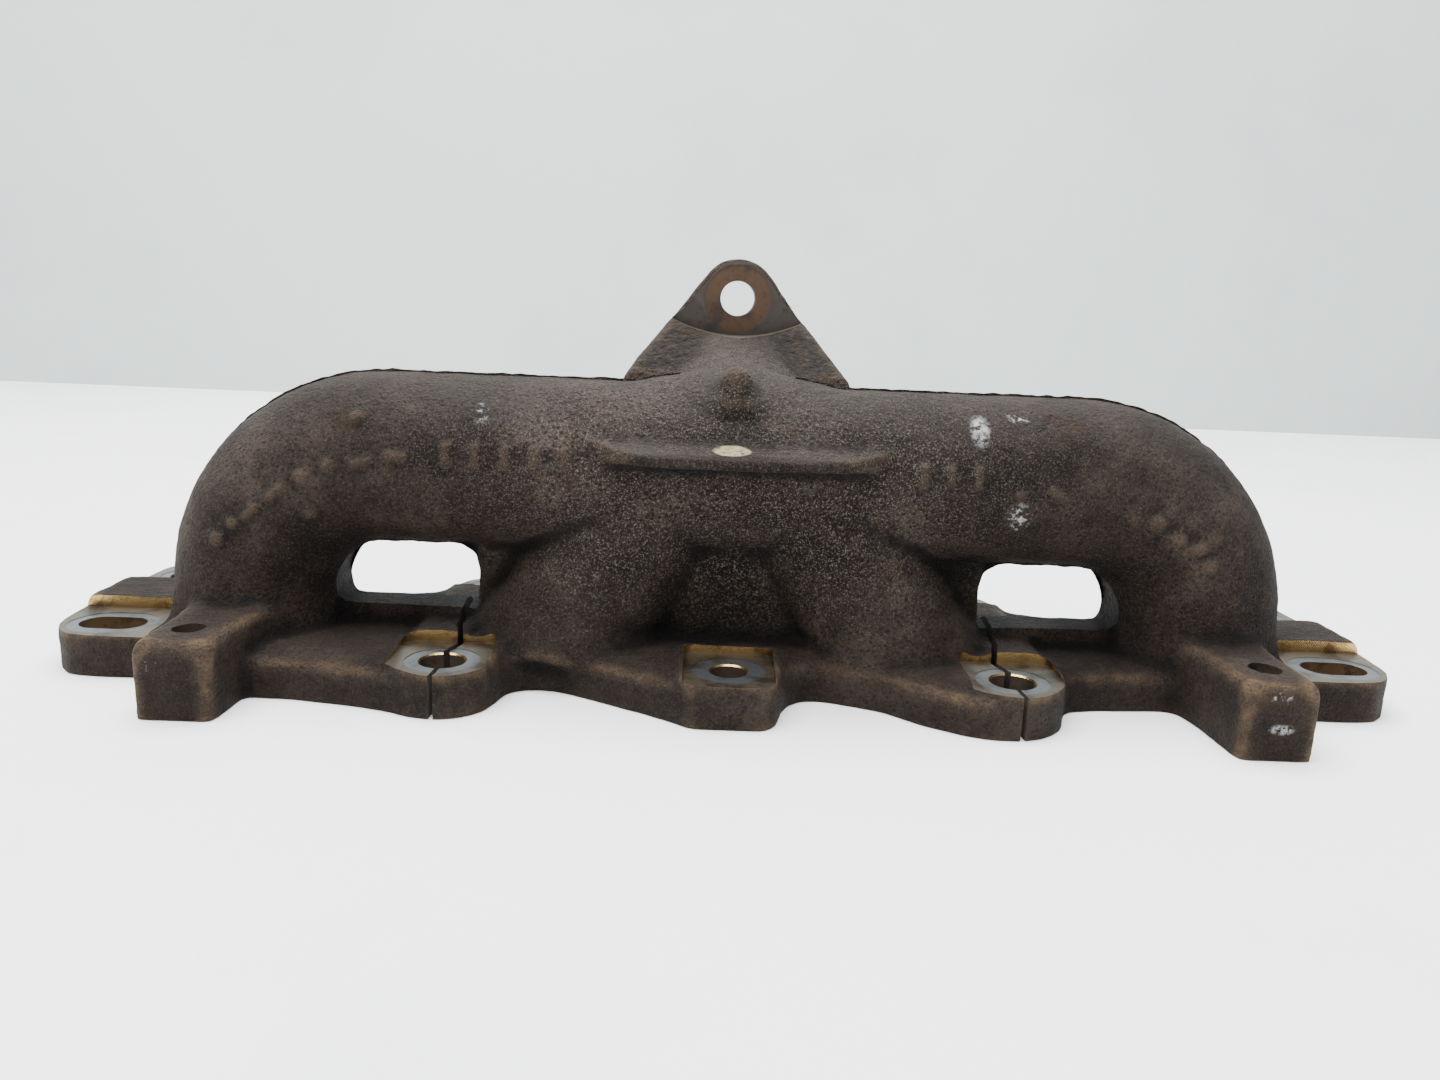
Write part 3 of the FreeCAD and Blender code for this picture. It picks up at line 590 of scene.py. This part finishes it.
# head flange: the front edge follows the bolt ears, one ramp to each side
flange = {
    "front": [(-181.2, 4), (-181.2, -5.5), (-179.8, -16), (-177.2, -21.5), (-172.5, -25.8), (-165, -26.7),
              (-150, -26.7), (-141, -26.5), (-119.4, -37.5), (-107.6, -38), (-94, -40.7), (-84, -43.6),
              (-78.2, -46.3), (-72.9, -47.4), (-68.6, -46.9), (-64.2, -44.6), (-60.8, -40.8),
              (-59.0, -35.2), (-57.9, -30.1), (-56.4, -27.2), (-54.0, -25.4), (-49.3, -24.8),
              (-43.9, -25.7), (-32.7, -32.0), (-19.3, -40), (-13.0, -44.0), (-10.6, -46.4), (-8.6, -47.5),
              (8.6, -47.5), (10.8, -45.4), (12.4, -41.0), (14.2, -34.1), (16.4, -29.0), (19.5, -26.2),
              (23.0, -25.6), (27.4, -26.4), (39.9, -31.5), (48.8, -39.4), (57.7, -45), (62.6, -46.8),
              (66.9, -47.8), (72.4, -47.6), (77.4, -45.6), (81.6, -42.6), (84.6, -38.6), (86.6, -33.4),
              (88.2, -29.2), (91.0, -26.4), (99.5, -25), (113.5, -23.8), (126, -24.2), (141, -26.5),
              (150, -26.7), (165, -26.7), (172.5, -25.8), (177.2, -21.5), (179.8, -16), (181.2, -5.5),
              (181.2, 4)],
    "rear": [(181.2, 22), (180.2, 44), (176.5, 50.2), (170, 52), (158, 51.5), (151, 47), (146.5, 38),
             (141, 32), (131, 29), (96, 29), (88.5, 31.5), (85.6, 37), (82.4, 43.2), (77.6, 46.6),
             (72.4, 47.5), (66.8, 46.4), (62.4, 43.2), (59.4, 37.5), (56, 31.5), (48, 29)],
    "edge": 9.3, "earTop": 12.4, "stripTop": 13.9, "blockTop": 14.6,
}
outline = flange["front"] + flange["rear"] + [(-x, y) for x, y in reversed(flange["rear"])]


def stepped(obj, steps):        # insets the top face and lifts it, once for each (inset, lift)
    pickOnly(obj)
    editing(True, "DESELECT")
    editing(False)
    top = max(face.center.z for face in obj.data.polygons)
    for face in obj.data.polygons:
        face.select = abs(face.center.z - top) < 0.01 * mm
    editing(True)
    bpy.ops.mesh.select_mode(type="FACE")
    for width, lift in steps:
        bpy.ops.mesh.inset(thickness=width * mm)
        bpy.ops.transform.translate(value=(0, 0, lift * mm))
    bpy.ops.mesh.select_mode(type="VERT")
    return tidied(obj)


# the plate is low at its edge and rises towards the runners, most of all between the inner bolts
bottom = -3                     # everything starts below the head face, which is cut level later
rise = {"plate": [(1.0, 0.6), (3.0, 1.1), (3.0, 0.6)], "middle": [(1.5, 1.1), (3.0, 1.4), (3.0, 0.8)],
        "lift": 2.0, "middleHalf": 57}
rough.append(stepped(traced("flangePlate", outline, bottom, flange["edge"] - bottom), rise["plate"]))
middleOutline = [(x, y * 0.86 if y < -30 else y) for x, y in outline if abs(x) < rise["middleHalf"]]
rough.append(stepped(traced("flangeRise", middleOutline, bottom, flange["edge"] + rise["lift"]),
                     rise["middle"]))

# raised shapes on the plate: outline, start, top, rolled edge. The pad cutter levels the ears later
innerEar = [(59.2, -18), (59.6, -36), (61.6, -41.0), (65.2, -45.0), (69.0, -47.0), (73.2, -47.5),
            (77.8, -45.8), (82.0, -42.4), (85.0, -38.2), (86.4, -32.5), (86.8, -18)]
innerRearEar = [(59.8, 24), (60.4, 37.5), (63.0, 43.0), (67.2, 46.2), (72.4, 47.4), (77.6, 46.4),
                (82.4, 43.0), (85.2, 37), (86.2, 24)]
outerEar = [(148, -26.6), (165, -26.7), (172.5, -25.8), (177.2, -21.5), (179.8, -16), (181.1, -5.5),
            (181.1, 0), (148, 0)]
outerRearEar = [(149, 20), (181.1, 20), (180.2, 44), (176.5, 50.2), (170, 52), (158, 51.5), (151, 47),
                (149, 40)]
centreEar = [(-13.6, -18), (-13.2, -38), (-12.2, -43.6), (-8.8, -47.5), (8.8, -47.5), (12.0, -43.6),
             (13.2, -38), (13.6, -18)]
earBlock = [(148, -1.5), (180.9, -1.5), (180.8, 21), (148, 21)]
for shape in (innerEar, innerRearEar, outerEar, outerRearEar):
    ear = traced("ear", shape, bottom, flange["earTop"] - bottom)
    rough += pair(rolledTop(ear, flange["earTop"], 0.6, 2))
centreTop = flange["earTop"] + 0.6
rough.append(rolledTop(traced("centreEar", centreEar, bottom, centreTop - bottom), centreTop, 1.4, 3))
rough += pair(rolledTop(traced("earBlock", earBlock, 0, flange["blockTop"]), flange["blockTop"], 1.0, 2))

# level strips that the pad cutter runs out on, one beside each slit
for front, back in ((-30, -1), (3, 34)):
    strip = [(70, front), (83.8, front), (83.8, back), (70, back)]
    rough += pair(rolledTop(traced("padStrip", strip, 0, flange["stripTop"]), flange["stripTop"], 0.8, 2))

# lugs for the heat shield, spreading into the legs' feet
lug = {"half": 9.3, "front": -54, "top": 19.6, "round": 2.6}
lugOutline = [(cad["lugX"] - lug["half"], lug["front"]), (cad["lugX"] + lug["half"], lug["front"]),
              (cad["lugX"] + lug["half"] + 0.4, -30), (cad["lugX"] + lug["half"] + 3.5, -12), (116, -12),
              (118.5, -22), (120.6, -28), (122.0, -37.5)]
rough += pair(rolledTop(traced("shieldLug", lugOutline, -3, lug["top"] + 3), lug["top"], lug["round"], 4))

# ledge under the log, its top tilted back
ledge = {"low": 61.5, "top": 67.5, "tilt": (0, -0.235, 0.972), "through": (0, -31.2, 64.1),
         "outline": [(-18, -31.2), (0, -31.6), (19, -31.2), (27.5, -29.4), (34, -26.0), (39.5, -21.8),
                     (39.5, -8), (-36.5, -8), (-36.5, -21.8), (-31.5, -26.0), (-25.5, -29.4)]}
datumLedge = traced("datumLedge", ledge["outline"], ledge["low"], ledge["top"] - ledge["low"])
rough.append(sliced(datumLedge, ledge["through"], ledge["tilt"]))
# a copy of the ledge joins again after the first softening, to keep its edge
crispLedge = copied(datumLedge, "crispLedge")

# feeder stub on its soft hump
stub = {"hump": (-0.4, -9, 75.5), "humpSize": (9.5, 9, 4.6), "foot": (-0.6, -10.6, 70),
        "top": (-0.6, -12.0, 81.8), "footRadius": 4.9, "radius": 4.5}
rough.append(ball("stubHump", stub["hump"], stub["humpSize"]))
rough.append(rod("stubStem", stub["foot"], stub["top"], stub["footRadius"], stub["radius"], 40))
rough.append(ball("stubDome", stub["top"], (stub["radius"],) * 3, 20))

# outlet: neck, sloping gusset and the three-eared plate
outlet = {"plateFront": 47.6, "ear": 12.1, "rim": 31, "neckRoot": 25, "neckEnd": 29, "plateBack": 62,
          "gusset": [(-33.0, 66), (-33.2, 79), (-31.0, 82.5), (-19.6, 97.5), (19.6, 97.5), (31.0, 82.5),
                     (33.2, 79), (33.0, 66)],
          "slope": (0, -0.46, 0.888), "slopeThrough": (0, 46, 97)}
rough.append(rod("outletNeck", (0, 0, cad["logAxis"] + 1.7), (0, 50, cad["outletZ"]), outlet["neckRoot"],
                 outlet["neckEnd"]))
gusset = traced("gusset", outlet["gusset"], 16, 34, "xz")
rough.append(sliced(gusset, outlet["slopeThrough"], outlet["slope"]))
rough.append(rod("gussetRidge", (0, 8, 77.5), (0, 47, 89.5), 7, 8))


def arc(centre, radius, fromAngle, toAngle, steps=10):
    return [(centre[0] + radius * math.cos(math.radians(fromAngle + (toAngle - fromAngle) * i / steps)),
             centre[1] + radius * math.sin(math.radians(fromAngle + (toAngle - fromAngle) * i / steps)))
            for i in range(steps + 1)]


flank = math.degrees(math.atan2(cad["lowBoltX"], cad["earZ"] - cad["lowBoltZ"]))
plateOutline = (arc((0, cad["earZ"]), outlet["ear"], flank, 180 - flank)
                + arc((-cad["lowBoltX"], cad["lowBoltZ"]), outlet["ear"], 180 - flank, 285)
                + arc((0, cad["outletZ"]), outlet["rim"], 232, 308)
                + arc((cad["lowBoltX"], cad["lowBoltZ"]), outlet["ear"], -105, flank))
rough.append(traced("outletPlate", plateOutline, outlet["plateFront"],
                    outlet["plateBack"] - outlet["plateFront"], "xz"))
print("rough shapes made:", len(rough))

# fused and softened; the fillets come from the softening
skin = {"voxel": 0.8, "soften": 9, "softenAgain": 6,
        "unevenness": 0.55, "unevenSize": 9, "grit": 0.20, "gritSize": 2.2}
casting = joined(rough, "casting")
applied(casting, "REMESH", mode="VOXEL", voxel_size=1.2 * mm)
applied(casting, "SMOOTH", factor=0.5, iterations=skin["soften"])
print("fused:", len(casting.data.vertices), "points")

# raised marks: rows of even bars and round pips
marks = {
    "bars": [(x, 61.4, 90, 3.1) for x in (-74, -66.5, -59, -51.5, -44)]
            + [(x, 60.8, 90, 2.8) for x in (48, 55, 62)]
            + [(-124.0, 44.6, 50, 2.4), (-117.6, 50.0, 45, 2.4), (-95.5, 58.6, 15, 2.4),
               (-86.5, 60.4, 0, 2.4), (82.6, 57.2, -35, 2.4)],
    "pips": [(-133.0, 37.0, 2.3), (-128.6, 41.4, 1.9), (-110.6, 54.6, 2.1), (-103.8, 57.4, 1.9),
             (-97.3, 69.5, 1.9), (-37.0, 66.0, 1.1), (-109.0, 44.6, 1.3), (109.0, 51.0, 2.6),
             (115.4, 46.8, 2.0), (120.6, 44.6, 1.8), (124.2, 39.8, 1.8), (73.0, 56.8, 1.5)],
    "stroke": 1.1,
    "pad": [(104, 52), (109, 50), (114, 47), (118.5, 43), (122, 38.5), (112, 53), (117.5, 51), (123, 46.5)],
    "padSize": (6.2, 3.9, 5.2), "padSunk": 3.2,
}


def onSkin(x, z):               # where a line from the front meets the casting, and how it faces there
    hit, place, facing, _ = casting.ray_cast(Vector((x, -200, z)) * mm, Vector((0, 1, 0)))
    return (place / mm, facing) if hit else None


raised = []
for x, z, turn, size in marks["bars"]:
    place, facing = onSkin(x, z)
    along = Vector((math.cos(math.radians(turn)), 0, math.sin(math.radians(turn))))
    along = (along - facing * along.dot(facing)).normalized()
    place += facing * 0.25
    raised.append(rod("bar", place - along * size, place + along * size, marks["stroke"], sides=12))
for x, z, size in marks["pips"]:
    place, facing = onSkin(x, z)
    raised.append(ball("pip", place + facing * (1.0 - 0.6 * size), (size, size, size), 10))
# a slightly raised pad carries the pips on the right-hand bend
padSpots = [onSkin(x, z) for x, z in marks["pad"]]
raised += [ball("pad", place - facing * marks["padSunk"], marks["padSize"], 12)
           for place, facing in padSpots]
casting = joined([casting, crispLedge] + raised, "casting")
applied(casting, "REMESH", mode="VOXEL", voxel_size=skin["voxel"] * mm)
applied(casting, "SMOOTH", factor=0.5, iterations=skin["softenAgain"])


def clouds(name, size, depth):
    made = bpy.data.textures.new(name, "CLOUDS")
    made.noise_scale = size * mm
    made.noise_depth = depth
    return made


applied(casting, "DISPLACE", texture=clouds("unevenness", skin["unevenSize"], 2),
        strength=skin["unevenness"] * mm, mid_level=0.5)
applied(casting, "DISPLACE", texture=clouds("grit", skin["gritSize"], 1), strength=skin["grit"] * mm,
        mid_level=0.5)
print("softened:", len(casting.data.vertices), "points")
casting.data.materials.clear()
casting.data.materials.append(castIron)


def meshData(data, key, width, kind=float):
    values = np.empty(len(data) * width, kind)
    data.foreach_get(key, values)
    return values.reshape(-1, width)


def curvature(obj, reach):
    # how far each point stands out from the surface within reach of it, in millimetres
    mesh = obj.data
    points = meshData(mesh.vertices, "co", 3) / mm
    facing = meshData(mesh.vertices, "normal", 3)
    ends = meshData(mesh.edges, "vertices", 2, int)
    count = np.bincount(ends.ravel(), minlength=len(points)).clip(1)

    def averaged(values):
        total = np.empty_like(values)
        for axis in range(values.shape[1]):
            total[:, axis] = (np.bincount(ends[:, 0], values[ends[:, 1], axis], len(points))
                              + np.bincount(ends[:, 1], values[ends[:, 0], axis], len(points))) / count
        return total
    spacing = np.linalg.norm(points[ends[:, 0]] - points[ends[:, 1]], axis=1).mean()
    rounds = max(2, round(2 * reach * reach / spacing ** 2))
    around = points
    for _ in range(rounds):
        around = averaged(around)
    proud = ((points - around) * facing).sum(1)[:, None]
    for _ in range(max(1, rounds // 8)):
        proud = averaged(proud)
    return points, proud[:, 0]


# wear, and the masks for painted shade in hollows and painted highlight and shade on small marks, read off
# the bare casting before it is machined
wearAndShading = {"reach": 2.4, "roundTube": 0.22, "wornAt": 0.75, "shadeAt": 0.80, "smallReach": 1.5, "small": 0.32}
points, proud = curvature(casting, wearAndShading["reach"])
small = curvature(casting, wearAndShading["smallReach"])[1]
wearAndShadingMasks = {"wear": ((proud - wearAndShading["roundTube"]) / (wearAndShading["wornAt"] - wearAndShading["roundTube"])).clip(0, 1),
        "hollow": ((-proud - wearAndShading["roundTube"]) / (wearAndShading["shadeAt"] - wearAndShading["roundTube"])).clip(0, 1),
        "relief": (small / wearAndShading["small"]).clip(-1, 1)}
bareTree = kdtree.KDTree(len(points))
for index, point in enumerate(points):
    bareTree.insert(point, index)
bareTree.balance()


def givenWearAndShading(piece):            # gives a piece the wear and the painted shade and highlight masks of the bare casting's nearest points
    near = [bareTree.find(vertex.co / mm)[1] for vertex in piece.data.vertices]
    for name, values in wearAndShadingMasks.items():
        layer = piece.data.attributes.get(name) or piece.data.attributes.new(name, "FLOAT", "POINT")
        layer.data.foreach_set("value", values[near].astype("float32"))


print("wear read, standing out by up to", round(float(proud.max()), 2), "mm")

# flash: a thin torn rim where the two halves of the mould met, over the bends and the log
flash = {"thick": 0.9, "proud": 0.55, "deep": 2.2, "torn": 0.42, "until": 15}


def rimPoint(centre, away):     # where the casting's outline lies on the mould's joint, seen from a centre
    centre, away = Vector((centre[0], 0, centre[1])), Vector((away[0], 0, away[1]))
    hit, place, _, _ = casting.ray_cast((centre + away * 120) * mm, -away)
    return place / mm, away


rim = [rimPoint((cad["bendX"], cad["bendZ"]), (math.cos(math.radians(a)), math.sin(math.radians(a))))
       for a in np.arange(6, 90, 1.2)]
rim += [rimPoint((x, cad["bendZ"]), (0, 1)) for x in np.arange(cad["bendX"], flash["until"], -1.2)]
for sign in (-1, 1):
    over, under = [], []
    for place, away in rim:
        lift = flash["proud"] + wobble(3 + sign, (place.x, place.z), 2.6, flash["torn"])
        over.append((sign * (place.x + away.x * lift), place.z + away.z * lift))
        under.append((sign * (place.x - away.x * flash["deep"]), place.z - away.z * flash["deep"]))
    cut(casting, traced("flash", over + under[::-1], -flash["thick"] / 2, flash["thick"], "xz"), "UNION")
print("flash added")


# machining

def madeOf(tool, floor, wall, axis="z"):        # the cutter's end faces leave one finish, its sides another
    tool.data.materials.append(surface[floor])
    tool.data.materials.append(surface[wall])
    for face in tool.data.polygons:
        face.material_index = 0 if abs(getattr(face.normal, axis)) > 0.9 else 1
    return tool


def pocketOutline(left, right, front, back, corner):
    points = []
    for x, y, turn in ((right - corner, front + corner, -90), (right - corner, back - corner, 0),
                       (left + corner, back - corner, 90), (left + corner, front + corner, 180)):
        points += arc((x, y), corner, turn, turn + 90, 6)
    return points


def slotOutline(x, y, half, radius):
    return arc((x + half, y), radius, -90, 90, 16) + arc((x - half, y), radius, 90, 270, 16)


def faced(low, high, iron):     # a big cutter that leaves one flat machined face
    tool = block("facing", low, high)
    tool.data.materials.append(surface[iron])
    cut(casting, tool)


faced((-300, -300, -60), (300, 300, 0), "face")
faced((-100, cad["outletY"], -5), (100, 200, 200), "face")

pads = {"floor": 11, "inner": (60.8, 85.6, -70, -20.2), "innerRear": (60.8, 85.0, 27.6, 80),
        "outer": (151, 200, -60, -0.6), "outerRear": (151, 200, 20.5, 90),
        "centre": (-11.6, 11.6, -70, -21.2), "corner": 3.2, "seat": 9.4, "seatDeep": 0.12, "clear": 13}
tools = []
for sign in (-1, 1):
    for key in ("inner", "innerRear", "outer", "outerRear"):
        left, right, front, back = pads[key]
        left, right = sorted((sign * left, sign * right))
        tools.append(traced("pad", pocketOutline(left, right, front, back, pads["corner"]), pads["floor"],
                            pads["clear"]))
left, right, front, back = pads["centre"]
tools.append(traced("pad", pocketOutline(left, right, front, back, 2.4), pads["floor"], pads["clear"]))
cut(casting, madeOf(joined(tools, "padTools"), "pad", "step"))

# washer seats and bolt holes
holes = {"inner": mountSize("inner_bolts", "hole_r_mm"), "centre": mountSize("centre_bolt", "r_mm"),
         "slot": mountSize("outer_front_bolts", "hole_r_mm"),
         "slotLength": mountSize("outer_front_bolts", "slot_length_mm"),
         "screw": mountSize("shield_screw_right", "r_mm")}
seatFloor = pads["floor"] - pads["seatDeep"]
roundHoles = [(sign * cad["boltX"], row * cad["boltY"], holes["inner"])
              for sign in (-1, 1) for row in (-1, 1)]
roundHoles.append((0, mountAt("centre_bolt").y, holes["centre"]))
straight = holes["slotLength"] / 2 - holes["slot"]
slots = [(sign * cad["slotX"], y) for sign in (-1, 1) for y in (cad["slotFrontY"], cad["slotRearY"])]
seats = [rod("seat", (x, y, seatFloor), (x, y, 24), pads["seat"]) for x, y, _ in roundHoles]
seats += [traced("seat", slotOutline(x, y, straight * 0.7, pads["seat"] - 0.4), seatFloor, 13)
          for x, y in slots]
cut(casting, madeOf(joined(seats, "seatTools"), "seat", "seat"))
edges = [rod("break", (x, y, seatFloor - 0.5), (x, y, seatFloor + 0.1), radius - 0.1, radius + 0.5)
         for x, y, radius in roundHoles]
cut(casting, madeOf(joined(edges, "edgeTools"), "step", "step"))
drills = [rod("drill", (x, y, -10), (x, y, 24), radius) for x, y, radius in roundHoles]
drills += [rod("drill", (sign * cad["lugX"], cad["lugY"], -10), (sign * cad["lugX"], cad["lugY"], 30),
               holes["screw"], sides=48) for sign in (-1, 1)]
cut(casting, madeOf(joined(drills, "drills"), "bore", "bore"))
mills = [traced("slot", slotOutline(x, y, straight, holes["slot"]), -10, 34) for x, y in slots]
cut(casting, madeOf(joined(mills, "slotTools"), "brassy", "brassy"))
print("flange machined")

# outlet ears: the upper one is faced by a large round cutter, the lower ones by spot facing
earCut = {"face": 48, "radius": 47, "drop": 11.2, "seat": 10.2, "spot": 11.4}
centreZ = cad["earZ"] - earCut["drop"] + earCut["radius"]


def facingTool(x, z, radius, front, back, floor, wall, sides=96):
    return madeOf(rod("earTool", (x, front, z), (x, back, z), radius, sides=sides), floor, wall, "y")


cut(casting, facingTool(0, centreZ, earCut["radius"], 20, earCut["face"], "ear", "pad", 180))
cut(casting, facingTool(0, cad["earZ"], earCut["seat"], 20, earCut["face"] + 0.15, "rusty", "rusty"))
cut(casting, facingTool(0, cad["earZ"], mountSize("outlet_top_bolt", "r_mm"), 20, 80, "bore", "bore"))
for sign in (-1, 1):
    x = sign * cad["lowBoltX"]
    cut(casting, facingTool(x, cad["lowBoltZ"], earCut["spot"], 30, earCut["face"], "ear", "pad"))
    cut(casting, facingTool(x, cad["lowBoltZ"], mountSize("outlet_lower_bolts", "hole_r_mm"), 20, 80,
                            "bore", "bore"))

# windows between the runners, their edges torn where the flash broke off
window = {"inner": 69, "outer": 108.4, "low": 16.7, "high": 34.4, "innerCorner": 7.5, "outerCorner": 10.5,
          "torn": 0.5}


def windowOutline():
    inner, outer, low, high = (window[k] for k in ("inner", "outer", "low", "high"))
    a, b = window["innerCorner"], window["outerCorner"]
    points = [(inner, low - 0.4), (outer - 5, low)] + arc((outer - 3.5, low + 3.5), 3.5, -80, 0, 6)
    points += arc((outer - b, high - b), b, 0, 90, 16)
    points += [(x, high) for x in np.arange(outer - b - 1.2, inner + a, -1.2)]
    points += arc((inner + a, high - a), a, 90, 180, 12)
    return [(x + wobble(3, (x, z), 1.9, window["torn"]), z + wobble(4, (x, z), 1.7, window["torn"]))
            for x, z in points]


for sign in (-1, 1):
    tool = traced("window", sideOf(windowOutline(), sign), -7, 14, "xz")
    tool.data.materials.append(castIron)
    cut(casting, tool)
print("outlet and windows cut")

# slits: from the front edge through each inner bolt hole and the sill to the rear edge
slit = {"wide": 1.7, "frontWide": 1.25, "torn": 0.38, "step": 1.1, "top": 24,
        "line": [(72.5, -56), (72.7, -47), (72.3, -42), (72.2, -36), (72.9, -28), (70.9, -21.8),
                 (71.4, -19), (72.9, -13.5), (73.1, -5), (73.6, 4), (72.4, 12), (73.3, 20), (72.2, 30),
                 (72.4, 56)]}


def slitOutline():
    right, left = [], []
    for (x0, y0), (x1, y1) in zip(slit["line"], slit["line"][1:]):
        for i in range(max(1, round((y1 - y0) / slit["step"]))):
            y = y0 + i * slit["step"]
            x = x0 + (x1 - x0) * (y - y0) / (y1 - y0)
            half = (slit["frontWide"] if y < -40 else slit["wide"]) / 2
            right.append((x + half + wobble(5, (x, y), 1.5, slit["torn"]), y))
            left.append((x - half + wobble(6, (x, y), 1.5, slit["torn"]), y))
    return right + left[::-1]


for sign in (-1, 1):
    cut(casting, madeOf(traced("slit", sideOf(slitOutline(), sign), -5, slit["top"] + 5), "torn", "torn"))

# gas ways
gasWays = pair(rod("portWay", (cad["innerPort"], 0, -10), (cad["innerPort"], 0, 15), cad["gasRadius"],
                   sides=80))
gasWays += pair(rod("leaningWay", (cad["innerPort"] - 0.4, 0, runner["bendZ"]),
                    (runner["topX"] + 1, 0, runner["topZ"] - 3), cad["gasRadius"] - 0.1, 15.5, sides=80))
gasWays += [gasTube("gasWay", cad["gasRadius"], -10),
            rod("outletWay", (0, 0, cad["logAxis"] + 1.7), (0, 49, cad["outletZ"]), cad["gasRadius"], 22, 80),
            rod("outletBore", (0, 48.5, cad["outletZ"]), (0, 80, cad["outletZ"]), 22, sides=80)]
gasWay = gasWays[0]
for other in gasWays[1:]:
    cut(gasWay, other, "UNION")
gasWay.data.materials.clear()
gasWay.data.materials.append(surface["sootAndShade"])
cut(casting, gasWay)
print("slits and gas ways cut:", len(casting.data.polygons), "faces")


# divided into the CAD's sections

def carved(name, low, high):    # takes what lies in a box out of the casting, as its own piece
    piece = copied(casting, name)
    box = block("box", low, high)
    box.data.materials.append(castIron)
    cut(piece, box, "INTERSECT", keep=True)
    cut(casting, box)
    return piece


def seated(piece, *nodes):
    pickOnly(piece)
    editing(True, "SELECT")
    bpy.ops.mesh.dissolve_degenerate(threshold=0.01 * mm)       # slivers that the cutters left
    editing(False)
    bpy.ops.object.shade_smooth_by_angle(angle=math.radians(38), keep_sharp_edges=False)
    givenWearAndShading(piece)
    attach(piece, "root")
    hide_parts(*nodes)


def carvedOn(side, node, name, near, out, low, high):   # a box to the left or the right of the middle
    sign = 1 if side == "right" else -1
    start, end = sorted((sign * near, sign * out))
    made[node + "_" + side] = carved(name + side.title(), (start, *low), (end, *high))


far = 300
made = {}
for side in ("left", "right"):
    carvedOn(side, "shield_boss", "shieldBoss", 121.5, 142, (-far, -far), (-29, far))
flangeWhole = carved("headFlange", (-far, -far, -far), (far, far, 15.2))
made["outlet_flange"] = carved("outletFlange", (-far, 47.6, -far), (far, far, far))
made["datum_ledge"] = carved("datumLedgePiece", (-38.5, -far, 60.2), (39.5, -22.8, 67.8))
made["feeder_stub"] = carved("feederStub", (-6.2, -14.5, 81), (5.2, -3.8, far))
made["outlet_neck"] = carved("outletNeckPiece", (-far, 26, -far), (far, far, far))
for side in ("left", "right"):
    carvedOn(side, "port_web", "portWeb", 73.6, 106.5, (-far, -far), (far, 20.3))
    carvedOn(side, "runner_outer", "runnerOuter", 93.5, far, (-far, -far), (far, far))
for side in ("left", "right"):
    carvedOn(side, "runner_inner", "runnerInner", 0, far, (-far, -far), (far, 33.8))
    carvedOn(side, "collector", "logEnd", 36, far, (-far, -far), (far, far))
casting.name = casting.data.name = "logMiddle"
made["collector_centre"] = casting
# the slits leave the flange in three parts
pickOnly(flangeWhole)
editing(True, "SELECT")
bpy.ops.mesh.separate(type="LOOSE")
editing(False)
parts = sorted((o for o in bpy.context.selected_objects if o.type == "MESH"),
               key=lambda o: sum(v.co.x for v in o.data.vertices) / len(o.data.vertices))
print("flange parts:", [len(part.data.vertices) for part in parts])
for side, part in zip(("left", "centre", "right"), parts):
    part.name = part.data.name = "headFlange" + side.title()
    made["head_flange_" + side] = part
for nodeName, piece in made.items():
    seated(piece, nodeName)
    print(" ", piece.name, len(piece.data.polygons), "faces")


# floor, backdrop, light and camera

studio = {"floorNear": -1.4, "wallAt": 0.72, "halfWidth": 2.2, "wallHigh": 1.9,
          "cameraAt": (-6.88, -294.95, 103.37), "cameraTurn": (77.300, -2.335, -0.209), "lens": 27,
          "overhead": 98.0, "front": 3.6, "sky": 0.64}


def paleSurface(name, color, darker, size):
    made, tree, shader, where = newMaterial(name, 0.0, 0.3)
    mottle = effect(tree, heatStain, Vector=where, Size=size, Dark=darker, Middle=color, Light=color)
    tree.links.new(mottle.outputs["Color"], shader.inputs["Base Color"])
    shader.inputs["Roughness"].default_value = 0.85
    return made


bpy.ops.object.select_all(action="DESELECT")
bpy.ops.mesh.primitive_plane_add(size=1, location=(0, (studio["wallAt"] + studio["floorNear"]) / 2,
                                                   -0.0002))
bpy.context.object.scale = (2 * studio["halfWidth"], studio["wallAt"] - studio["floorNear"], 1)
floor = started("floor")
floor.data.materials.append(paleSurface("floorWhite", (0.86, 0.87, 0.86, 1), (0.82, 0.83, 0.825, 1), 160))
bpy.ops.mesh.primitive_plane_add(size=1, location=(0, studio["wallAt"], studio["wallHigh"] / 2 - 0.1),
                                 rotation=(math.pi / 2, 0, 0))
bpy.context.object.scale = (2 * studio["halfWidth"], studio["wallHigh"], 1)
wall = started("backdrop")
wall.data.materials.append(paleSurface("backdropGrey", (0.56, 0.60, 0.60, 1), (0.52, 0.555, 0.56, 1), 300))


def areaLight(name, place, size, power, target, tint=(1, 1, 1)):
    bpy.ops.object.select_all(action="DESELECT")
    bpy.ops.object.light_add(type="AREA", location=place)
    lamp = bpy.context.object
    lamp.name = name
    lamp.data.shape = "RECTANGLE"
    lamp.data.size, lamp.data.size_y = size
    lamp.data.energy = power
    lamp.data.color = tint
    lamp.rotation_euler = (Vector(target) - Vector(place)).to_track_quat("-Z", "Y").to_euler()


areaLight("overheadLight", (-0.15, 0.05, 1.25), (1.8, 1.3), studio["overhead"], (0, 0, 0))
areaLight("frontLight", (0.3, -1.3, 0.9), (1.2, 0.8), studio["front"], (0, 0, 0.05))
world = bpy.data.worlds.new("room")
bpy.context.scene.world = world
world.use_nodes = True
world.node_tree.nodes["Background"].inputs["Color"].default_value = (0.92, 0.96, 1.0, 1)
world.node_tree.nodes["Background"].inputs["Strength"].default_value = studio["sky"]

bpy.ops.object.camera_add(location=Vector(studio["cameraAt"]) * mm,
                          rotation=[math.radians(a) for a in studio["cameraTurn"]])
camera = bpy.context.object
camera.data.lens = studio["lens"]
camera.data.clip_start = 0.01
bpy.context.scene.camera = camera

print("scene made")
